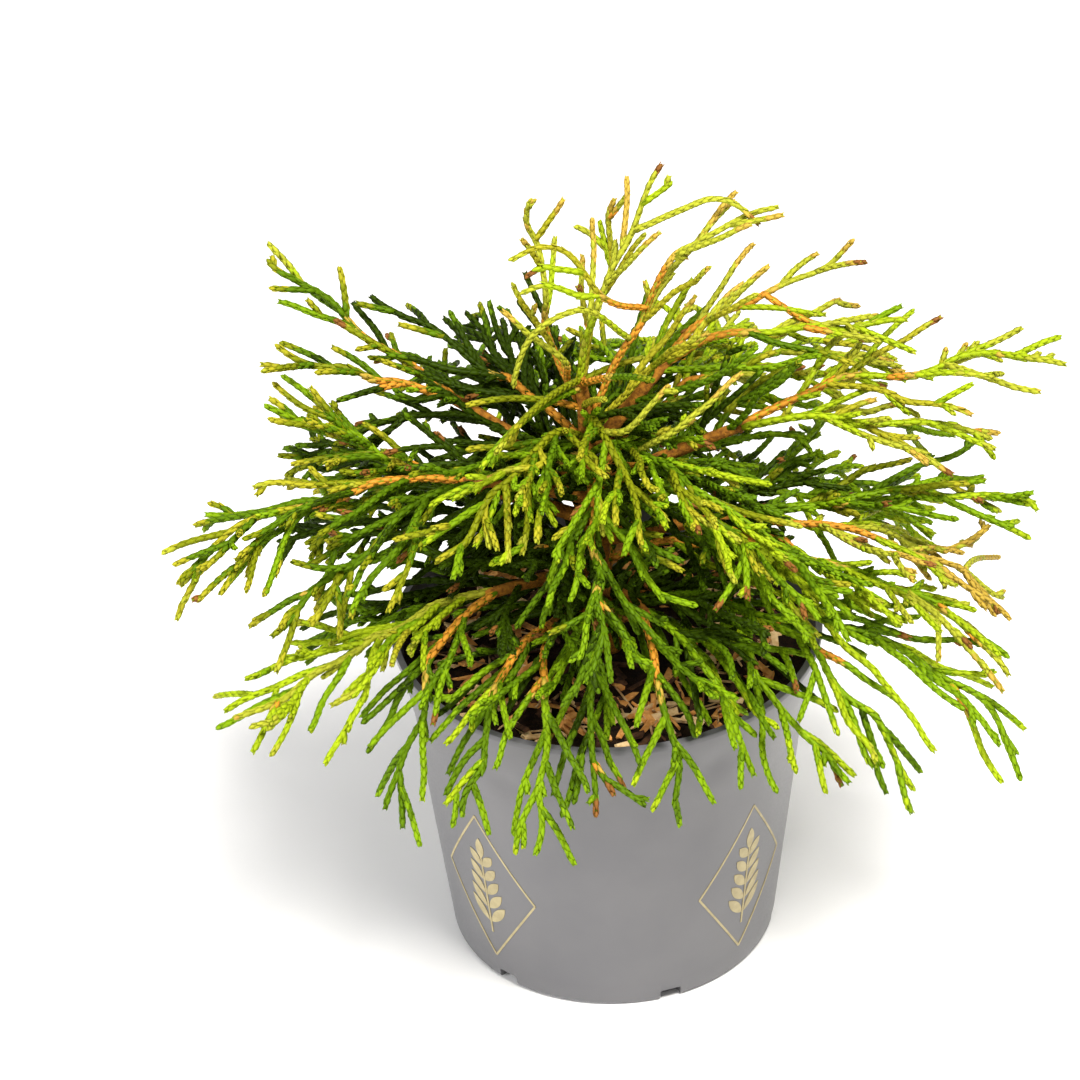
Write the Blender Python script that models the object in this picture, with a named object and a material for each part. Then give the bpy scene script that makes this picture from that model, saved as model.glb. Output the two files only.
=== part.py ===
"""Dwarf thread-branched western red cedar in a round nursery pot.

The frame is the pot's: the origin is the centre of its underside, +Z is up and
-Y is the front. The planner works in millimetres and the meshes are in metres.
"""

import math
import random

import bmesh
import bpy
import numpy as np
from mathutils import Vector

MM = 0.001
UP = Vector((0, 0, 1))
GAP = 0.35
NEARLY_UPRIGHT = 0.2

# The pot: a thin flexible wall that flares into a collar under the rim.
POT_SIDES = 48
POT_HEIGHT = 146.0
FOOT_RADIUS = 68.7
FOOT_ROUND = 1.8
COLLAR_START = 105.0
COLLAR_RADIUS = 80.6
RIM_RADIUS = 87.2
LIP_RADIUS = 88.4
LIP_HEIGHT = 3.0
LIP_ROUND = 0.7
WALL = 1.7
FLOOR = 2.2
NOTCHES = 6
NOTCH_WIDTH = 9.0
NOTCH_HEIGHT = 5.0
NOTCH_DEPTH = 9.0
NOTCH_ROUND = 1.2
FIRST_NOTCH = 222.0

# The soil: level where the stem stands, and a little uneven round it.
SOIL_TOP = 136.0
SOIL_LEVEL_RADIUS = 13.0
SOIL_RINGS = (13.0, 30.0, 48.0, 66.0)
SOIL_BUMP = 1.6
SOIL_EDGE = 1.0
SOIL_SEED = 3

# The trunk: height, lean in x and y, and radius, from the flat cut up.
TRUNK_SIDES = 10
FLARE_TOP = 143.0
FLARE_WAIST = 0.82
TRUNK_RINGS = (
    (136.3, 0.0, 0.0, 9.4),
    (139.5, 0.0, 0.0, 6.6),
    (145.0, -0.2, 0.1, 5.2),
    (160.0, -0.8, 0.6, 4.6),
    (185.0, -2.4, 1.6, 4.1),
    (210.0, -4.2, 2.4, 3.6),
    (238.0, -6.0, 3.4, 3.0),
    (262.0, -7.6, 4.4, 2.3),
)

# The boughs: foot height, azimuth clockwise from the back, rise at the foot,
# length and rise at the tip.
BOUGH_SIDES = 6
BOUGH_STEPS = 4
BOUGH_FOOT_RADIUS = 2.9
BOUGH_TIP_RADIUS = 2.2
BOUGHS = {
    "bough_01": (214.0, 292.0, 30.0, 62.0, 24.0),
    "bough_02": (197.0, 268.0, 24.0, 50.0, 20.0),
    "bough_03": (208.0, 249.0, 28.0, 52.0, 16.0),
    "bough_04": (173.0, 236.0, 16.0, 50.0, 6.0),
    "bough_05": (161.0, 208.0, 24.0, 44.0, 10.0),
    "bough_06": (166.0, 160.0, 26.0, 44.0, 10.0),
    "bough_07": (160.0, 122.0, 20.0, 54.0, 10.0),
    "bough_08": (187.0, 100.0, 20.0, 56.0, 8.0),
    "bough_09": (211.0, 82.0, 24.0, 62.0, 16.0),
    "bough_10": (230.0, 64.0, 44.0, 44.0, 40.0),
    "bough_11": (189.0, 336.0, 30.0, 46.0, 20.0),
    "bough_12": (202.0, 18.0, 30.0, 46.0, 18.0),
}

# The masses of foliage: what carries the stem, where on it (height on the
# trunk, or side of the bough's tip), then the tip's azimuth, reach and height,
# the rise at the foot, the rise at the tip, and the tint.
MASSES = {
    "leader_top": ("trunk", 262.0, 50.0, 36.0, 343.0, 86.0, 70.0, "gold"),
    "leader_back": ("trunk", 257.0, 12.0, 42.0, 324.0, 60.0, 80.0, "gold"),
    "leader_left": ("trunk", 252.0, 312.0, 32.0, 336.0, 50.0, 80.0, "gold"),
    "leader_right": ("trunk", 246.0, 76.0, 75.0, 326.0, 68.0, -8.0, "gold"),
    "leader_front": ("trunk", 240.0, 92.0, 66.0, 312.0, 50.0, 50.0, "gold"),
    "spray_right_01": ("bough_10", -1, 67.0, 112.0, 296.0, 38.0, 42.0, "gold"),
    "spray_right_02": ("bough_10", 1, 77.0, 130.0, 268.0, 34.0, 22.0, "lime"),
    "spray_right_03": ("bough_09", -1, 82.0, 186.0, 248.0, 18.0, -14.0, "lime"),
    "spray_right_04": ("bough_09", 1, 87.0, 156.0, 224.0, 10.0, -20.0, "lime"),
    "spray_right_05": ("bough_08", -1, 89.0, 170.0, 196.0, 20.0, -24.0, "green"),
    "spray_right_06": ("bough_08", 1, 99.0, 162.0, 164.0, 6.0, -46.0, "gold"),
    "spray_right_07": ("trunk", 178.0, 106.0, 167.0, 153.0, 34.0, -40.0, "lime"),
    "spray_right_08": ("bough_07", -1, 115.0, 179.0, 130.0, 14.0, -52.0, "green"),
    "spray_right_09": ("bough_07", 1, 127.0, 150.0, 122.0, 10.0, -60.0, "green"),
    "spray_right_10": ("trunk", 150.0, 137.0, 132.0, 128.0, 44.0, -60.0, "green"),
    "spray_front_01": ("bough_06", -1, 151.0, 112.0, 141.0, 12.0, -58.0, "green"),
    "spray_front_02": ("bough_06", 1, 168.0, 106.0, 133.0, 12.0, -66.0, "green"),
    "spray_front_03": ("trunk", 171.0, 184.0, 110.0, 133.0, 36.0, -68.0, "green"),
    "spray_front_04": ("bough_05", -1, 195.0, 122.0, 121.0, 14.0, -70.0, "green"),
    "spray_front_05": ("bough_05", 1, 208.0, 124.0, 131.0, 12.0, -62.0, "green"),
    "spray_left_01": ("bough_04", -1, 221.0, 132.0, 129.0, 8.0, -60.0, "green"),
    "spray_left_02": ("bough_04", 1, 238.0, 174.0, 171.0, 10.0, -6.0, "lime"),
    "spray_left_03": ("bough_03", -1, 243.0, 148.0, 190.0, 12.0, -26.0, "green"),
    "spray_left_04": ("bough_03", 1, 253.0, 175.0, 211.0, 22.0, -34.0, "olive"),
    "spray_left_05": ("trunk", 157.0, 264.0, 127.0, 142.0, 40.0, -50.0, "deep"),
    "spray_left_06": ("trunk", 181.0, 280.0, 133.0, 176.0, 30.0, -24.0, "deep"),
    "spray_left_07": ("bough_02", 1, 285.0, 131.0, 211.0, 16.0, -12.0, "deep"),
    "spray_left_08": ("bough_02", -1, 270.0, 129.0, 258.0, 30.0, 30.0, "olive"),
    "spray_left_09": ("bough_01", -1, 279.0, 130.0, 274.0, 26.0, 36.0, "olive"),
    "spray_left_10": ("bough_01", 1, 293.0, 143.0, 287.0, 26.0, 28.0, "olive"),
    "spray_left_11": ("trunk", 234.0, 303.0, 108.0, 268.0, 34.0, 20.0, "deep"),
    "spray_left_12": ("trunk", 222.0, 323.0, 88.0, 256.0, 40.0, 10.0, "deep"),
    "spray_back_01": ("bough_11", -1, 328.0, 128.0, 207.0, 18.0, -16.0, "deep"),
    "spray_back_02": ("bough_11", 1, 346.0, 134.0, 184.0, 14.0, -36.0, "green"),
    "spray_back_03": ("bough_12", -1, 8.0, 136.0, 196.0, 18.0, -26.0, "green"),
    "spray_back_04": ("bough_12", 1, 27.0, 140.0, 214.0, 18.0, -10.0, "lime"),
    "spray_back_05": ("trunk", 216.0, 48.0, 146.0, 222.0, 34.0, -12.0, "lime"),
    "spray_back_06": ("trunk", 164.0, 306.0, 142.0, 156.0, 40.0, -40.0, "deep"),
    "spray_back_07": ("trunk", 152.0, 8.0, 140.0, 140.0, 48.0, -56.0, "green"),
    "spray_back_08": ("trunk", 169.0, 62.0, 156.0, 154.0, 38.0, -40.0, "green"),
    "crown_01": ("trunk", 230.0, 143.0, 98.0, 222.0, 48.0, -16.0, "lime"),
    "crown_02": ("trunk", 218.0, 181.0, 100.0, 192.0, 44.0, -40.0, "green"),
    "crown_03": ("trunk", 237.0, 221.0, 96.0, 226.0, 46.0, -16.0, "lime"),
    "crown_04": ("trunk", 200.0, 124.0, 114.0, 190.0, 36.0, -34.0, "green"),
    "crown_05": ("trunk", 243.0, 170.0, 74.0, 236.0, 54.0, -12.0, "lime"),
}

# The rule that every mass grows by.
SEED = 41
SPINE_SIDES = 4
SPINE_STEP = 15.0
SPINE_ROOT_RADIUS = 1.6
SPINE_RADIUS = 2.3
SPINE_TIP_RADIUS = 1.7
SPINE_PULL = 0.36
SPINE_SWAY = 0.05
FORK_TURN = 0.2
FORK_CLEAR = 0.25
STEM_HELD = 13.0
WHIP_HELD = 4.0
SIDES = 3
WHIP_STEP = 11.0
WHIP_STEPS = (3, 4)
WHIP_RADIUS = 2.1
WHIP_TIP_RADIUS = 1.6
WHIP_SPACING = 13.0
OPEN_ABOVE_TIP = 290.0
OPEN_SPACING = 19.0
WHIPS_FROM = 0.16
WHIPS_TO = 0.93
FEWEST_WHIPS = 4
MOST_WHIPS = 10
WHIP_SHARE = 0.49
WHIP_SHRINK = 0.7
WHIP_VARY = (0.8, 1.15)
WHIP_ROLL = 32.0
WHIP_TRIES = 3
WHIP_JITTER = 0.6
LEAST_SHARE = 0.45
CUT_BACK = 3.0
SHORTEST_WHIP = 11.0
LONGEST_WHIP = 56.0
WHIP_ANGLE = (24.0, 40.0)
WHIP_DROOP = 0.16
WHIP_BEND = 0.22
DROOP_VARY = (0.3, 1.4)
NECK = 0.78
ROOT_SHARE = 0.6
TIP_SHARE = 0.62
TRIES = 14
LOWEST_TWIG = 108.0
POT_CLEAR = 1.0
SOIL_CLEAR = 3.0
SAMPLE_STEP = 1.6
SAMPLE_SPARE = 0.15
REACH_SPARE = 4.0
HEIGHT_SPARE = 8.0

BARK = (0.30, 0.12, 0.045, 1.0)
SOIL_COLOUR = (0.045, 0.026, 0.014, 1.0)
POT_COLOUR = (0.27, 0.265, 0.275, 1.0)
TINTS = {
    "gold": (0.42, 0.36, 0.035, 1.0),
    "lime": (0.24, 0.32, 0.02, 1.0),
    "green": (0.10, 0.24, 0.012, 1.0),
    "olive": (0.13, 0.17, 0.015, 1.0),
    "deep": (0.04, 0.11, 0.01, 1.0),
}


def clear_scene():
    for obj in list(bpy.data.objects):
        bpy.data.objects.remove(obj, do_unlink=True)


def material(name, colour, roughness):
    made = bpy.data.materials.new(name)
    made.use_nodes = True
    shader = made.node_tree.nodes["Principled BSDF"]
    shader.inputs["Base Color"].default_value = colour
    shader.inputs["Roughness"].default_value = roughness
    shader.inputs["Metallic"].default_value = 0.0
    return made


def mesh_object(name, bm, made_of):
    bmesh.ops.recalc_face_normals(bm, faces=bm.faces)
    mesh = bpy.data.meshes.new(name)
    bm.to_mesh(mesh)
    bm.free()
    mesh.materials.append(made_of)
    obj = bpy.data.objects.new(name, mesh)
    bpy.context.scene.collection.objects.link(obj)
    return obj


def heading(azimuth, rise):
    """The unit vector at this azimuth, clockwise from the back, and rise."""
    turn = math.radians(azimuth)
    lift = math.radians(rise)
    level = math.cos(lift)
    return Vector((level * math.sin(turn), level * math.cos(turn), math.sin(lift)))


def polar(azimuth, reach, height):
    spot = heading(azimuth, 0) * reach
    spot.z = height
    return spot


def between(table, value, column):
    """The column's value in the table of rings, read at this height."""
    for low, high in zip(table, table[1:]):
        if value <= high[0]:
            share = (value - low[0]) / (high[0] - low[0])
            return low[column] + share * (high[column] - low[column])
    return table[-1][column]


def trunk_centre(height):
    lean = [between(TRUNK_RINGS, height, column) for column in (1, 2)]
    return Vector((lean[0], lean[1], height))


def trunk_radius(height):
    return between(TRUNK_RINGS, height, 3)


def wall_radius(height):
    """The pot's outer radius at this height."""
    if height < COLLAR_START:
        share = height / COLLAR_START
        return FOOT_RADIUS + share * (COLLAR_RADIUS - FOOT_RADIUS)
    share = (height - COLLAR_START) / (POT_HEIGHT - COLLAR_START)
    return COLLAR_RADIUS + share * (RIM_RADIUS - COLLAR_RADIUS)


def hermite(start, start_way, end, end_way, pull, steps):
    """Points on a cubic from start to end that leaves and arrives those ways."""
    chord = (end - start).length
    first = start + start_way * chord * pull
    second = end - end_way * chord * pull
    points = []
    for step in range(steps + 1):
        t = step / steps
        u = 1 - t
        spot = start * u**3 + first * 3 * u * u * t
        spot += second * 3 * u * t * t + end * t**3
        points.append(spot)
    return points


def ways_along(points):
    """The curve's direction at each of its points."""
    ways = []
    last = len(points) - 1
    for i in range(len(points)):
        way = points[min(i + 1, last)] - points[max(i - 1, 0)]
        ways.append(way.normalized())
    return ways


def path_length(points):
    return sum((b - a).length for a, b in zip(points, points[1:]))


def point_on(points, share):
    """The point and the direction at this share of the curve."""
    place = share * (len(points) - 1)
    i = min(int(place), len(points) - 2)
    spot = points[i].lerp(points[i + 1], place - i)
    return spot, (points[i + 1] - points[i]).normalized()


def tube(points, radii, sides):
    """A closed tube through the points, with a flat cap at either end."""
    bm = bmesh.new()
    side = ways_along(points)[0].cross(UP)
    if side.length < NEARLY_UPRIGHT:
        side = Vector((1, 0, 0))
    rings = []
    for spot, way, radius in zip(points, ways_along(points), radii):
        side = (side - way * side.dot(way)).normalized()
        top = side.cross(way)
        ring = []
        for k in range(sides):
            turn = math.tau * k / sides
            out = top * math.cos(turn) + side * math.sin(turn)
            ring.append(bm.verts.new((spot + out * radius) * MM))
        rings.append(ring)
    for low, high in zip(rings, rings[1:]):
        for k in range(sides):
            j = (k + 1) % sides
            bm.faces.new((low[k], low[j], high[j], high[k]))
    bm.faces.new(rings[0])
    bm.faces.new(rings[-1])
    return bm


class Crown:
    """What is planned so far, so that new twigs can keep clear of it."""

    def __init__(self):
        self.starts = []
        self.ends = []
        self.widths = []
        self.owners = []

    def add(self, owner, points, radii):
        for i in range(len(points) - 1):
            self.starts.append(tuple(points[i]))
            self.ends.append(tuple(points[i + 1]))
            self.widths.append(max(radii[i], radii[i + 1]))
            self.owners.append(owner)

    def blocked(self, spots, radius, left_out):
        """For each spot, whether it lies too near a limb or a twig of another."""
        keep = np.array([owner not in left_out for owner in self.owners])
        if not keep.any():
            return np.zeros(len(spots), bool)
        start = np.array(self.starts)[keep]
        along = np.array(self.ends)[keep] - start
        width = np.array(self.widths)[keep]
        offset = np.array(spots)[:, None, :] - start[None]
        share = (offset * along).sum(2) / (along * along).sum(1)
        share = np.clip(share, 0, 1)
        apart = np.linalg.norm(offset - share[..., None] * along, axis=2)
        return (apart < width + radius + GAP + SAMPLE_SPARE).any(axis=1)


def outside_pot(spot, radius):
    """Whether a twig this thick may pass here: over the soil or round the pot."""
    out = math.hypot(spot.x, spot.y)
    if spot.z < LOWEST_TWIG:
        return False
    over_rim = spot.z - radius > POT_HEIGHT + POT_CLEAR
    past_rim = out - radius > LIP_RADIUS + POT_CLEAR
    if over_rim or past_rim:
        return True
    inner = wall_radius(spot.z) - WALL
    return out + radius < inner - POT_CLEAR and spot.z - radius > SOIL_TOP + SOIL_CLEAR


def dense(points, spacing=SAMPLE_STEP):
    """The curve's points with more between them."""
    spots = []
    for a, b in zip(points, points[1:]):
        count = max(1, math.ceil((b - a).length / spacing))
        spots += [a.lerp(b, k / count) for k in range(count)]
    return spots + [points[-1]]


def free_share(crown, points, radius, left_out, held, reach, top):
    """The share of the curve that is clear and in its space, past its held length."""
    spots = dense(points)
    stop = crown.blocked(spots, radius, left_out)
    first = held / path_length(points)
    for i, spot in enumerate(spots):
        past = i / (len(spots) - 1)
        outside = math.hypot(spot.x, spot.y) > reach or spot.z > top
        if past >= first and (stop[i] or outside or not outside_pot(spot, radius)):
            return past
    return 1.0


def foot_on_trunk(height, azimuth, rise, radius):
    """Where a limb starts, a hair clear of the trunk, and the way it leaves."""
    way = heading(azimuth, rise)
    out = trunk_radius(height) + GAP + radius * math.sin(math.radians(rise))
    return trunk_centre(height) + heading(azimuth, 0) * out, way


def plan_bough(row):
    foot, azimuth, rise, length, tip_rise = row
    start, way = foot_on_trunk(foot, azimuth, rise, BOUGH_FOOT_RADIUS)
    end_way = heading(azimuth, tip_rise)
    end = start + (way + end_way).normalized() * length
    points = hermite(start, way, end, end_way, SPINE_PULL, BOUGH_STEPS)
    radii = []
    for step in range(BOUGH_STEPS + 1):
        share = step / BOUGH_STEPS
        radii.append(BOUGH_FOOT_RADIUS + share * (BOUGH_TIP_RADIUS - BOUGH_FOOT_RADIUS))
    return points, radii


def stem_foot(row, limbs):
    """The start of a mass's stem and the way it leaves."""
    carrier, place, azimuth, rise = row[0], row[1], row[2], row[5]
    if carrier != "trunk":
        points = limbs[carrier]
        end_way = ways_along(points)[-1]
        side = end_way.cross(UP).normalized()
        shift = side * place * (SPINE_ROOT_RADIUS + FORK_CLEAR)
        clear = GAP + SPINE_ROOT_RADIUS * FORK_TURN
        way = (end_way + side * place * FORK_TURN).normalized()
        return points[-1] + end_way * clear + shift, way
    if place >= TRUNK_RINGS[-1][0]:
        top = trunk_centre(place)
        return top + UP * GAP, heading(azimuth, rise)
    return foot_on_trunk(place, azimuth, rise, SPINE_ROOT_RADIUS)


def spine_radii(count):
    """A stem's radii: slim at the root, then necked between the scales."""
    radii = [SPINE_ROOT_RADIUS]
    for step in range(1, count):
        share = step / (count - 1)
        full = SPINE_RADIUS + share * (SPINE_TIP_RADIUS - SPINE_RADIUS)
        radii.append(full if step % 2 else full * NECK)
    radii[-1] = SPINE_TIP_RADIUS * TIP_SHARE
    return radii


def whip_radii(steps):
    radii = [WHIP_RADIUS * ROOT_SHARE]
    for step in range(1, steps + 1):
        share = step / steps
        full = WHIP_RADIUS + share * (WHIP_TIP_RADIUS - WHIP_RADIUS)
        radii.append(full if step % 2 else full * NECK)
    radii[-1] = WHIP_TIP_RADIUS * TIP_SHARE
    return radii


def plan_spine(row, limbs, crown, draw):
    """The stem of a mass, swayed a little until it is clear of the others."""
    carrier, azimuth, reach, height = row[0], row[2], row[3], row[4]
    start, way = stem_foot(row, limbs)
    tip = polar(azimuth, reach, height)
    steps = max(4, round((tip - start).length / SPINE_STEP))
    side = heading(azimuth + 90, 0)
    best, best_free = None, -1.0
    for attempt in range(TRIES):
        sway = SPINE_SWAY * attempt * (tip - start).length
        drift = side * draw.uniform(-sway, sway) + UP * draw.uniform(-sway, sway)
        end_way = heading(azimuth, row[6])
        points = hermite(start, way, tip, end_way, SPINE_PULL, steps)
        for i in range(1, steps):
            share = i / steps
            points[i] += drift * (4 * share * (1 - share)) * share
        free = free_share(
            crown, points, SPINE_RADIUS, {carrier}, STEM_HELD, reach + REACH_SPARE, math.inf
        )
        if free > best_free:
            best, best_free = points, free
        if free == 1.0:
            break
    return best, best_free


def plan_whip(spine, share, hand, draw):
    """One side twig: it leaves forward from the stem, arches and droops."""
    root, way = point_on(spine, share)
    length = path_length(spine)
    flat = way.cross(UP)
    if flat.length < NEARLY_UPRIGHT:
        flat = heading(math.degrees(draw.uniform(0, math.tau)), 0).cross(way)
    flat.normalize()
    top = flat.cross(way)
    roll = math.radians(draw.uniform(-WHIP_ROLL, WHIP_ROLL))
    aside = (flat * math.cos(roll) + top * math.sin(roll)) * hand
    angle = math.radians(draw.uniform(*WHIP_ANGLE))
    leave = way * math.cos(angle) + aside * math.sin(angle)
    shrink = 1 - WHIP_SHRINK * share
    reach = min(length * WHIP_SHARE * shrink * draw.uniform(*WHIP_VARY), LONGEST_WHIP)
    droop = WHIP_DROOP * draw.uniform(*DROOP_VARY) * reach
    bend = WHIP_BEND * draw.uniform(*DROOP_VARY) * reach
    steps = min(max(round(reach / WHIP_STEP), WHIP_STEPS[0]), WHIP_STEPS[1])
    points = []
    for step in range(steps + 1):
        t = step / steps
        points.append(root + leave * reach * t + way * bend * t * t - UP * droop * t * t)
    return points


def shortened(points, share):
    """The same curve cut to this share of its length, with as many points."""
    last = len(points) - 1
    return [point_on(points, share * i / last)[0] for i in range(last + 1)]


def grow_whips(name, row, spine, crown, draw):
    """The side twigs of one mass that stay clear and in their own space."""
    spacing = OPEN_SPACING if row[4] > OPEN_ABOVE_TIP else WHIP_SPACING
    count = min(MOST_WHIPS, max(FEWEST_WHIPS, int(path_length(spine) / spacing)))
    reach = row[3] + REACH_SPARE
    top = max(spot.z for spot in spine) + HEIGHT_SPARE
    grown = []
    for i in range(count):
        place = (i + draw.uniform(0, WHIP_JITTER)) / count
        share = WHIPS_FROM + (WHIPS_TO - WHIPS_FROM) * place
        for attempt in range(WHIP_TRIES):
            hand = 1 if (i + attempt) % 2 else -1
            points = plan_whip(spine, share, hand, draw)
            free = free_share(crown, points, WHIP_RADIUS, {name}, WHIP_HELD, reach, top)
            whole = path_length(points)
            if free < 1.0:
                points = shortened(points, max(free - CUT_BACK / whole, 0.0))
            if path_length(points) >= max(SHORTEST_WHIP, LEAST_SHARE * whole):
                grown.append(points)
                crown.add(name, points, whip_radii(len(points) - 1))
                break
    return grown


def plan_crown():
    """Every limb, stem and twig, each clear of what was planned before it."""
    crown = Crown()
    trunk = [trunk_centre(ring[0]) for ring in TRUNK_RINGS]
    crown.add("trunk", trunk, [ring[3] for ring in TRUNK_RINGS])
    limbs = {}
    for name, row in BOUGHS.items():
        points, radii = plan_bough(row)
        limbs[name] = points
        crown.add(name, points, radii)
    draws = {}
    spines = {}
    for i, (name, row) in enumerate(MASSES.items()):
        draws[name] = random.Random(SEED * 1000 + i)
        points, free = plan_spine(row, limbs, crown, draws[name])
        spines[name] = points
        crown.add(name, points, spine_radii(len(points)))
        if free < 1.0:
            print(f"{name} is free for {free:.2f} of its length")
    whips = {}
    for name, row in MASSES.items():
        whips[name] = grow_whips(name, row, spines[name], crown, draws[name])
    return spines, whips


def pot_profile():
    """The wall's cross-section, outside up and inside down, as radius, height."""
    outer = [
        (FOOT_RADIUS - FOOT_ROUND, 0.0),
        (FOOT_RADIUS - 0.3 * FOOT_ROUND, 0.3 * FOOT_ROUND),
        (FOOT_RADIUS, FOOT_ROUND),
        (COLLAR_RADIUS, COLLAR_START),
        (RIM_RADIUS, POT_HEIGHT - LIP_HEIGHT),
        (LIP_RADIUS, POT_HEIGHT - LIP_HEIGHT + LIP_ROUND),
        (LIP_RADIUS, POT_HEIGHT - LIP_ROUND),
        (LIP_RADIUS - LIP_ROUND, POT_HEIGHT),
    ]
    inner = [
        (RIM_RADIUS - WALL, POT_HEIGHT),
        (COLLAR_RADIUS - WALL, COLLAR_START),
        (FOOT_RADIUS - WALL, FOOT_ROUND + FLOOR),
        (FOOT_RADIUS - WALL - FOOT_ROUND, FLOOR),
    ]
    return outer + inner


def revolve(profile, sides, made_of, name):
    """A closed body turned from a profile whose ends are both on the axis."""
    bm = bmesh.new()
    rings = []
    for radius, height in profile:
        ring = []
        for k in range(sides):
            turn = math.tau * k / sides
            spot = Vector((radius * math.sin(turn), radius * math.cos(turn), height))
            ring.append(bm.verts.new(spot * MM))
        rings.append(ring)
    for low, high in zip(rings, rings[1:]):
        for k in range(sides):
            j = (k + 1) % sides
            bm.faces.new((low[k], low[j], high[j], high[k]))
    bm.faces.new(rings[0])
    bm.faces.new(rings[-1])
    return mesh_object(name, bm, made_of)


def notch_cutters():
    """Hidden blocks that cut the drainage notches out of the foot's corner."""
    group = bpy.data.collections.new("notches")
    bpy.context.scene.collection.children.link(group)
    for k in range(NOTCHES):
        azimuth = FIRST_NOTCH + 360.0 * k / NOTCHES
        bm = bmesh.new()
        bmesh.ops.create_cube(bm, size=1.0)
        bmesh.ops.scale(
            bm,
            vec=(NOTCH_WIDTH * MM, NOTCH_DEPTH * MM, 2 * NOTCH_HEIGHT * MM),
            verts=bm.verts,
        )
        top = [edge for edge in bm.edges if all(v.co.z > 0 for v in edge.verts)]
        bmesh.ops.bevel(bm, geom=top, offset=NOTCH_ROUND * MM, segments=1, affect="EDGES")
        mesh = bpy.data.meshes.new("notch")
        bm.to_mesh(mesh)
        bm.free()
        cutter = bpy.data.objects.new(f"notch_{k + 1}", mesh)
        cutter.location = polar(azimuth, FOOT_RADIUS, 0.0) * MM
        cutter.rotation_euler = (0.0, 0.0, -math.radians(azimuth))
        cutter.hide_render = True
        cutter.display_type = "WIRE"
        group.objects.link(cutter)
    return group


def make_pot():
    plastic = material("pot_plastic", POT_COLOUR, 0.5)
    pot = revolve(pot_profile(), POT_SIDES, plastic, "pot")
    cut = pot.modifiers.new("notches", "BOOLEAN")
    cut.operation = "DIFFERENCE"
    cut.operand_type = "COLLECTION"
    cut.collection = notch_cutters()
    cut.solver = "EXACT"


def make_soil():
    """The filling, clear of the wall, with an uneven top round a level spot."""
    draw = random.Random(SOIL_SEED)
    clear = WALL + GAP
    low = FLOOR + GAP
    profile = [
        (FOOT_RADIUS - clear - FOOT_ROUND, low),
        (FOOT_RADIUS - clear, low + FOOT_ROUND),
        (COLLAR_RADIUS - clear, COLLAR_START),
        (wall_radius(SOIL_TOP) - clear, SOIL_TOP - SOIL_EDGE),
    ]
    for radius in reversed(SOIL_RINGS):
        profile.append((radius, SOIL_TOP))
    earth = material("soil_earth", SOIL_COLOUR, 0.95)
    soil = revolve(profile, POT_SIDES, earth, "soil")
    for vert in soil.data.vertices:
        out = math.hypot(vert.co.x, vert.co.y) / MM
        on_top = vert.co.z > (SOIL_TOP - 0.01) * MM
        if on_top and out > SOIL_LEVEL_RADIUS + 1.0:
            vert.co.z += draw.uniform(-SOIL_BUMP, SOIL_BUMP) * MM


def make_trunk():
    bark = material("trunk_bark", BARK, 0.9)
    points = [trunk_centre(ring[0]) for ring in TRUNK_RINGS]
    bm = bmesh.new()
    rings = []
    for spot, ring in zip(points, TRUNK_RINGS):
        row = []
        for k in range(TRUNK_SIDES):
            turn = math.tau * k / TRUNK_SIDES
            between_roots = ring[0] < FLARE_TOP and k % 2
            radius = ring[3] * (FLARE_WAIST if between_roots else 1.0)
            out = Vector((radius * math.sin(turn), radius * math.cos(turn), 0.0))
            row.append(bm.verts.new((spot + out) * MM))
        rings.append(row)
    for low, high in zip(rings, rings[1:]):
        for k in range(TRUNK_SIDES):
            j = (k + 1) % TRUNK_SIDES
            bm.faces.new((low[k], low[j], high[j], high[k]))
    bm.faces.new(rings[0])
    bm.faces.new(rings[-1])
    mesh_object("trunk", bm, bark)


def make_boughs():
    for name, row in BOUGHS.items():
        points, radii = plan_bough(row)
        bark = material(f"{name}_bark", BARK, 0.85)
        mesh_object(name, tube(points, radii, BOUGH_SIDES), bark)


def make_mass(name, spine, whips, tint):
    """A stem and its twigs, joined into one closed body."""
    needles = material(f"{name}_foliage", TINTS[tint], 0.6)
    body = mesh_object(name, tube(spine, spine_radii(len(spine)), SPINE_SIDES), needles)
    if not whips:
        return
    group = bpy.data.collections.new(f"{name}_twigs")
    bpy.context.scene.collection.children.link(group)
    for points in whips:
        twig = mesh_object(f"{name}_twig", tube(points, whip_radii(len(points) - 1), SIDES), needles)
        bpy.context.scene.collection.objects.unlink(twig)
        group.objects.link(twig)
    union = body.modifiers.new("twigs", "BOOLEAN")
    union.operation = "UNION"
    union.operand_type = "COLLECTION"
    union.collection = group
    union.solver = "MANIFOLD"
    bpy.ops.object.select_all(action="DESELECT")
    bpy.context.view_layer.objects.active = body
    body.select_set(True)
    bpy.ops.object.modifier_apply(modifier=union.name)
    for twig in list(group.objects):
        bpy.data.objects.remove(twig, do_unlink=True)
    bpy.data.collections.remove(group)


def main():
    clear_scene()
    make_pot()
    make_soil()
    make_trunk()
    spines, whips = plan_crown()
    make_boughs()
    for name, row in MASSES.items():
        make_mass(name, spines[name], whips[name], row[7])


main()
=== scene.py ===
"""Dwarf thread-branched western red cedar in a round nursery pot: its finish.

The limbs, stems and side twigs follow the same rule and seeds as the solids.
Here they are rounded, carried on to finer twigs, and clothed in paired scale
leaves. Lengths are in millimetres until a mesh is made.
"""

import math
import random
from collections import namedtuple

import bpy
import numpy as np
from mathutils import Matrix, Vector, noise


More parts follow.
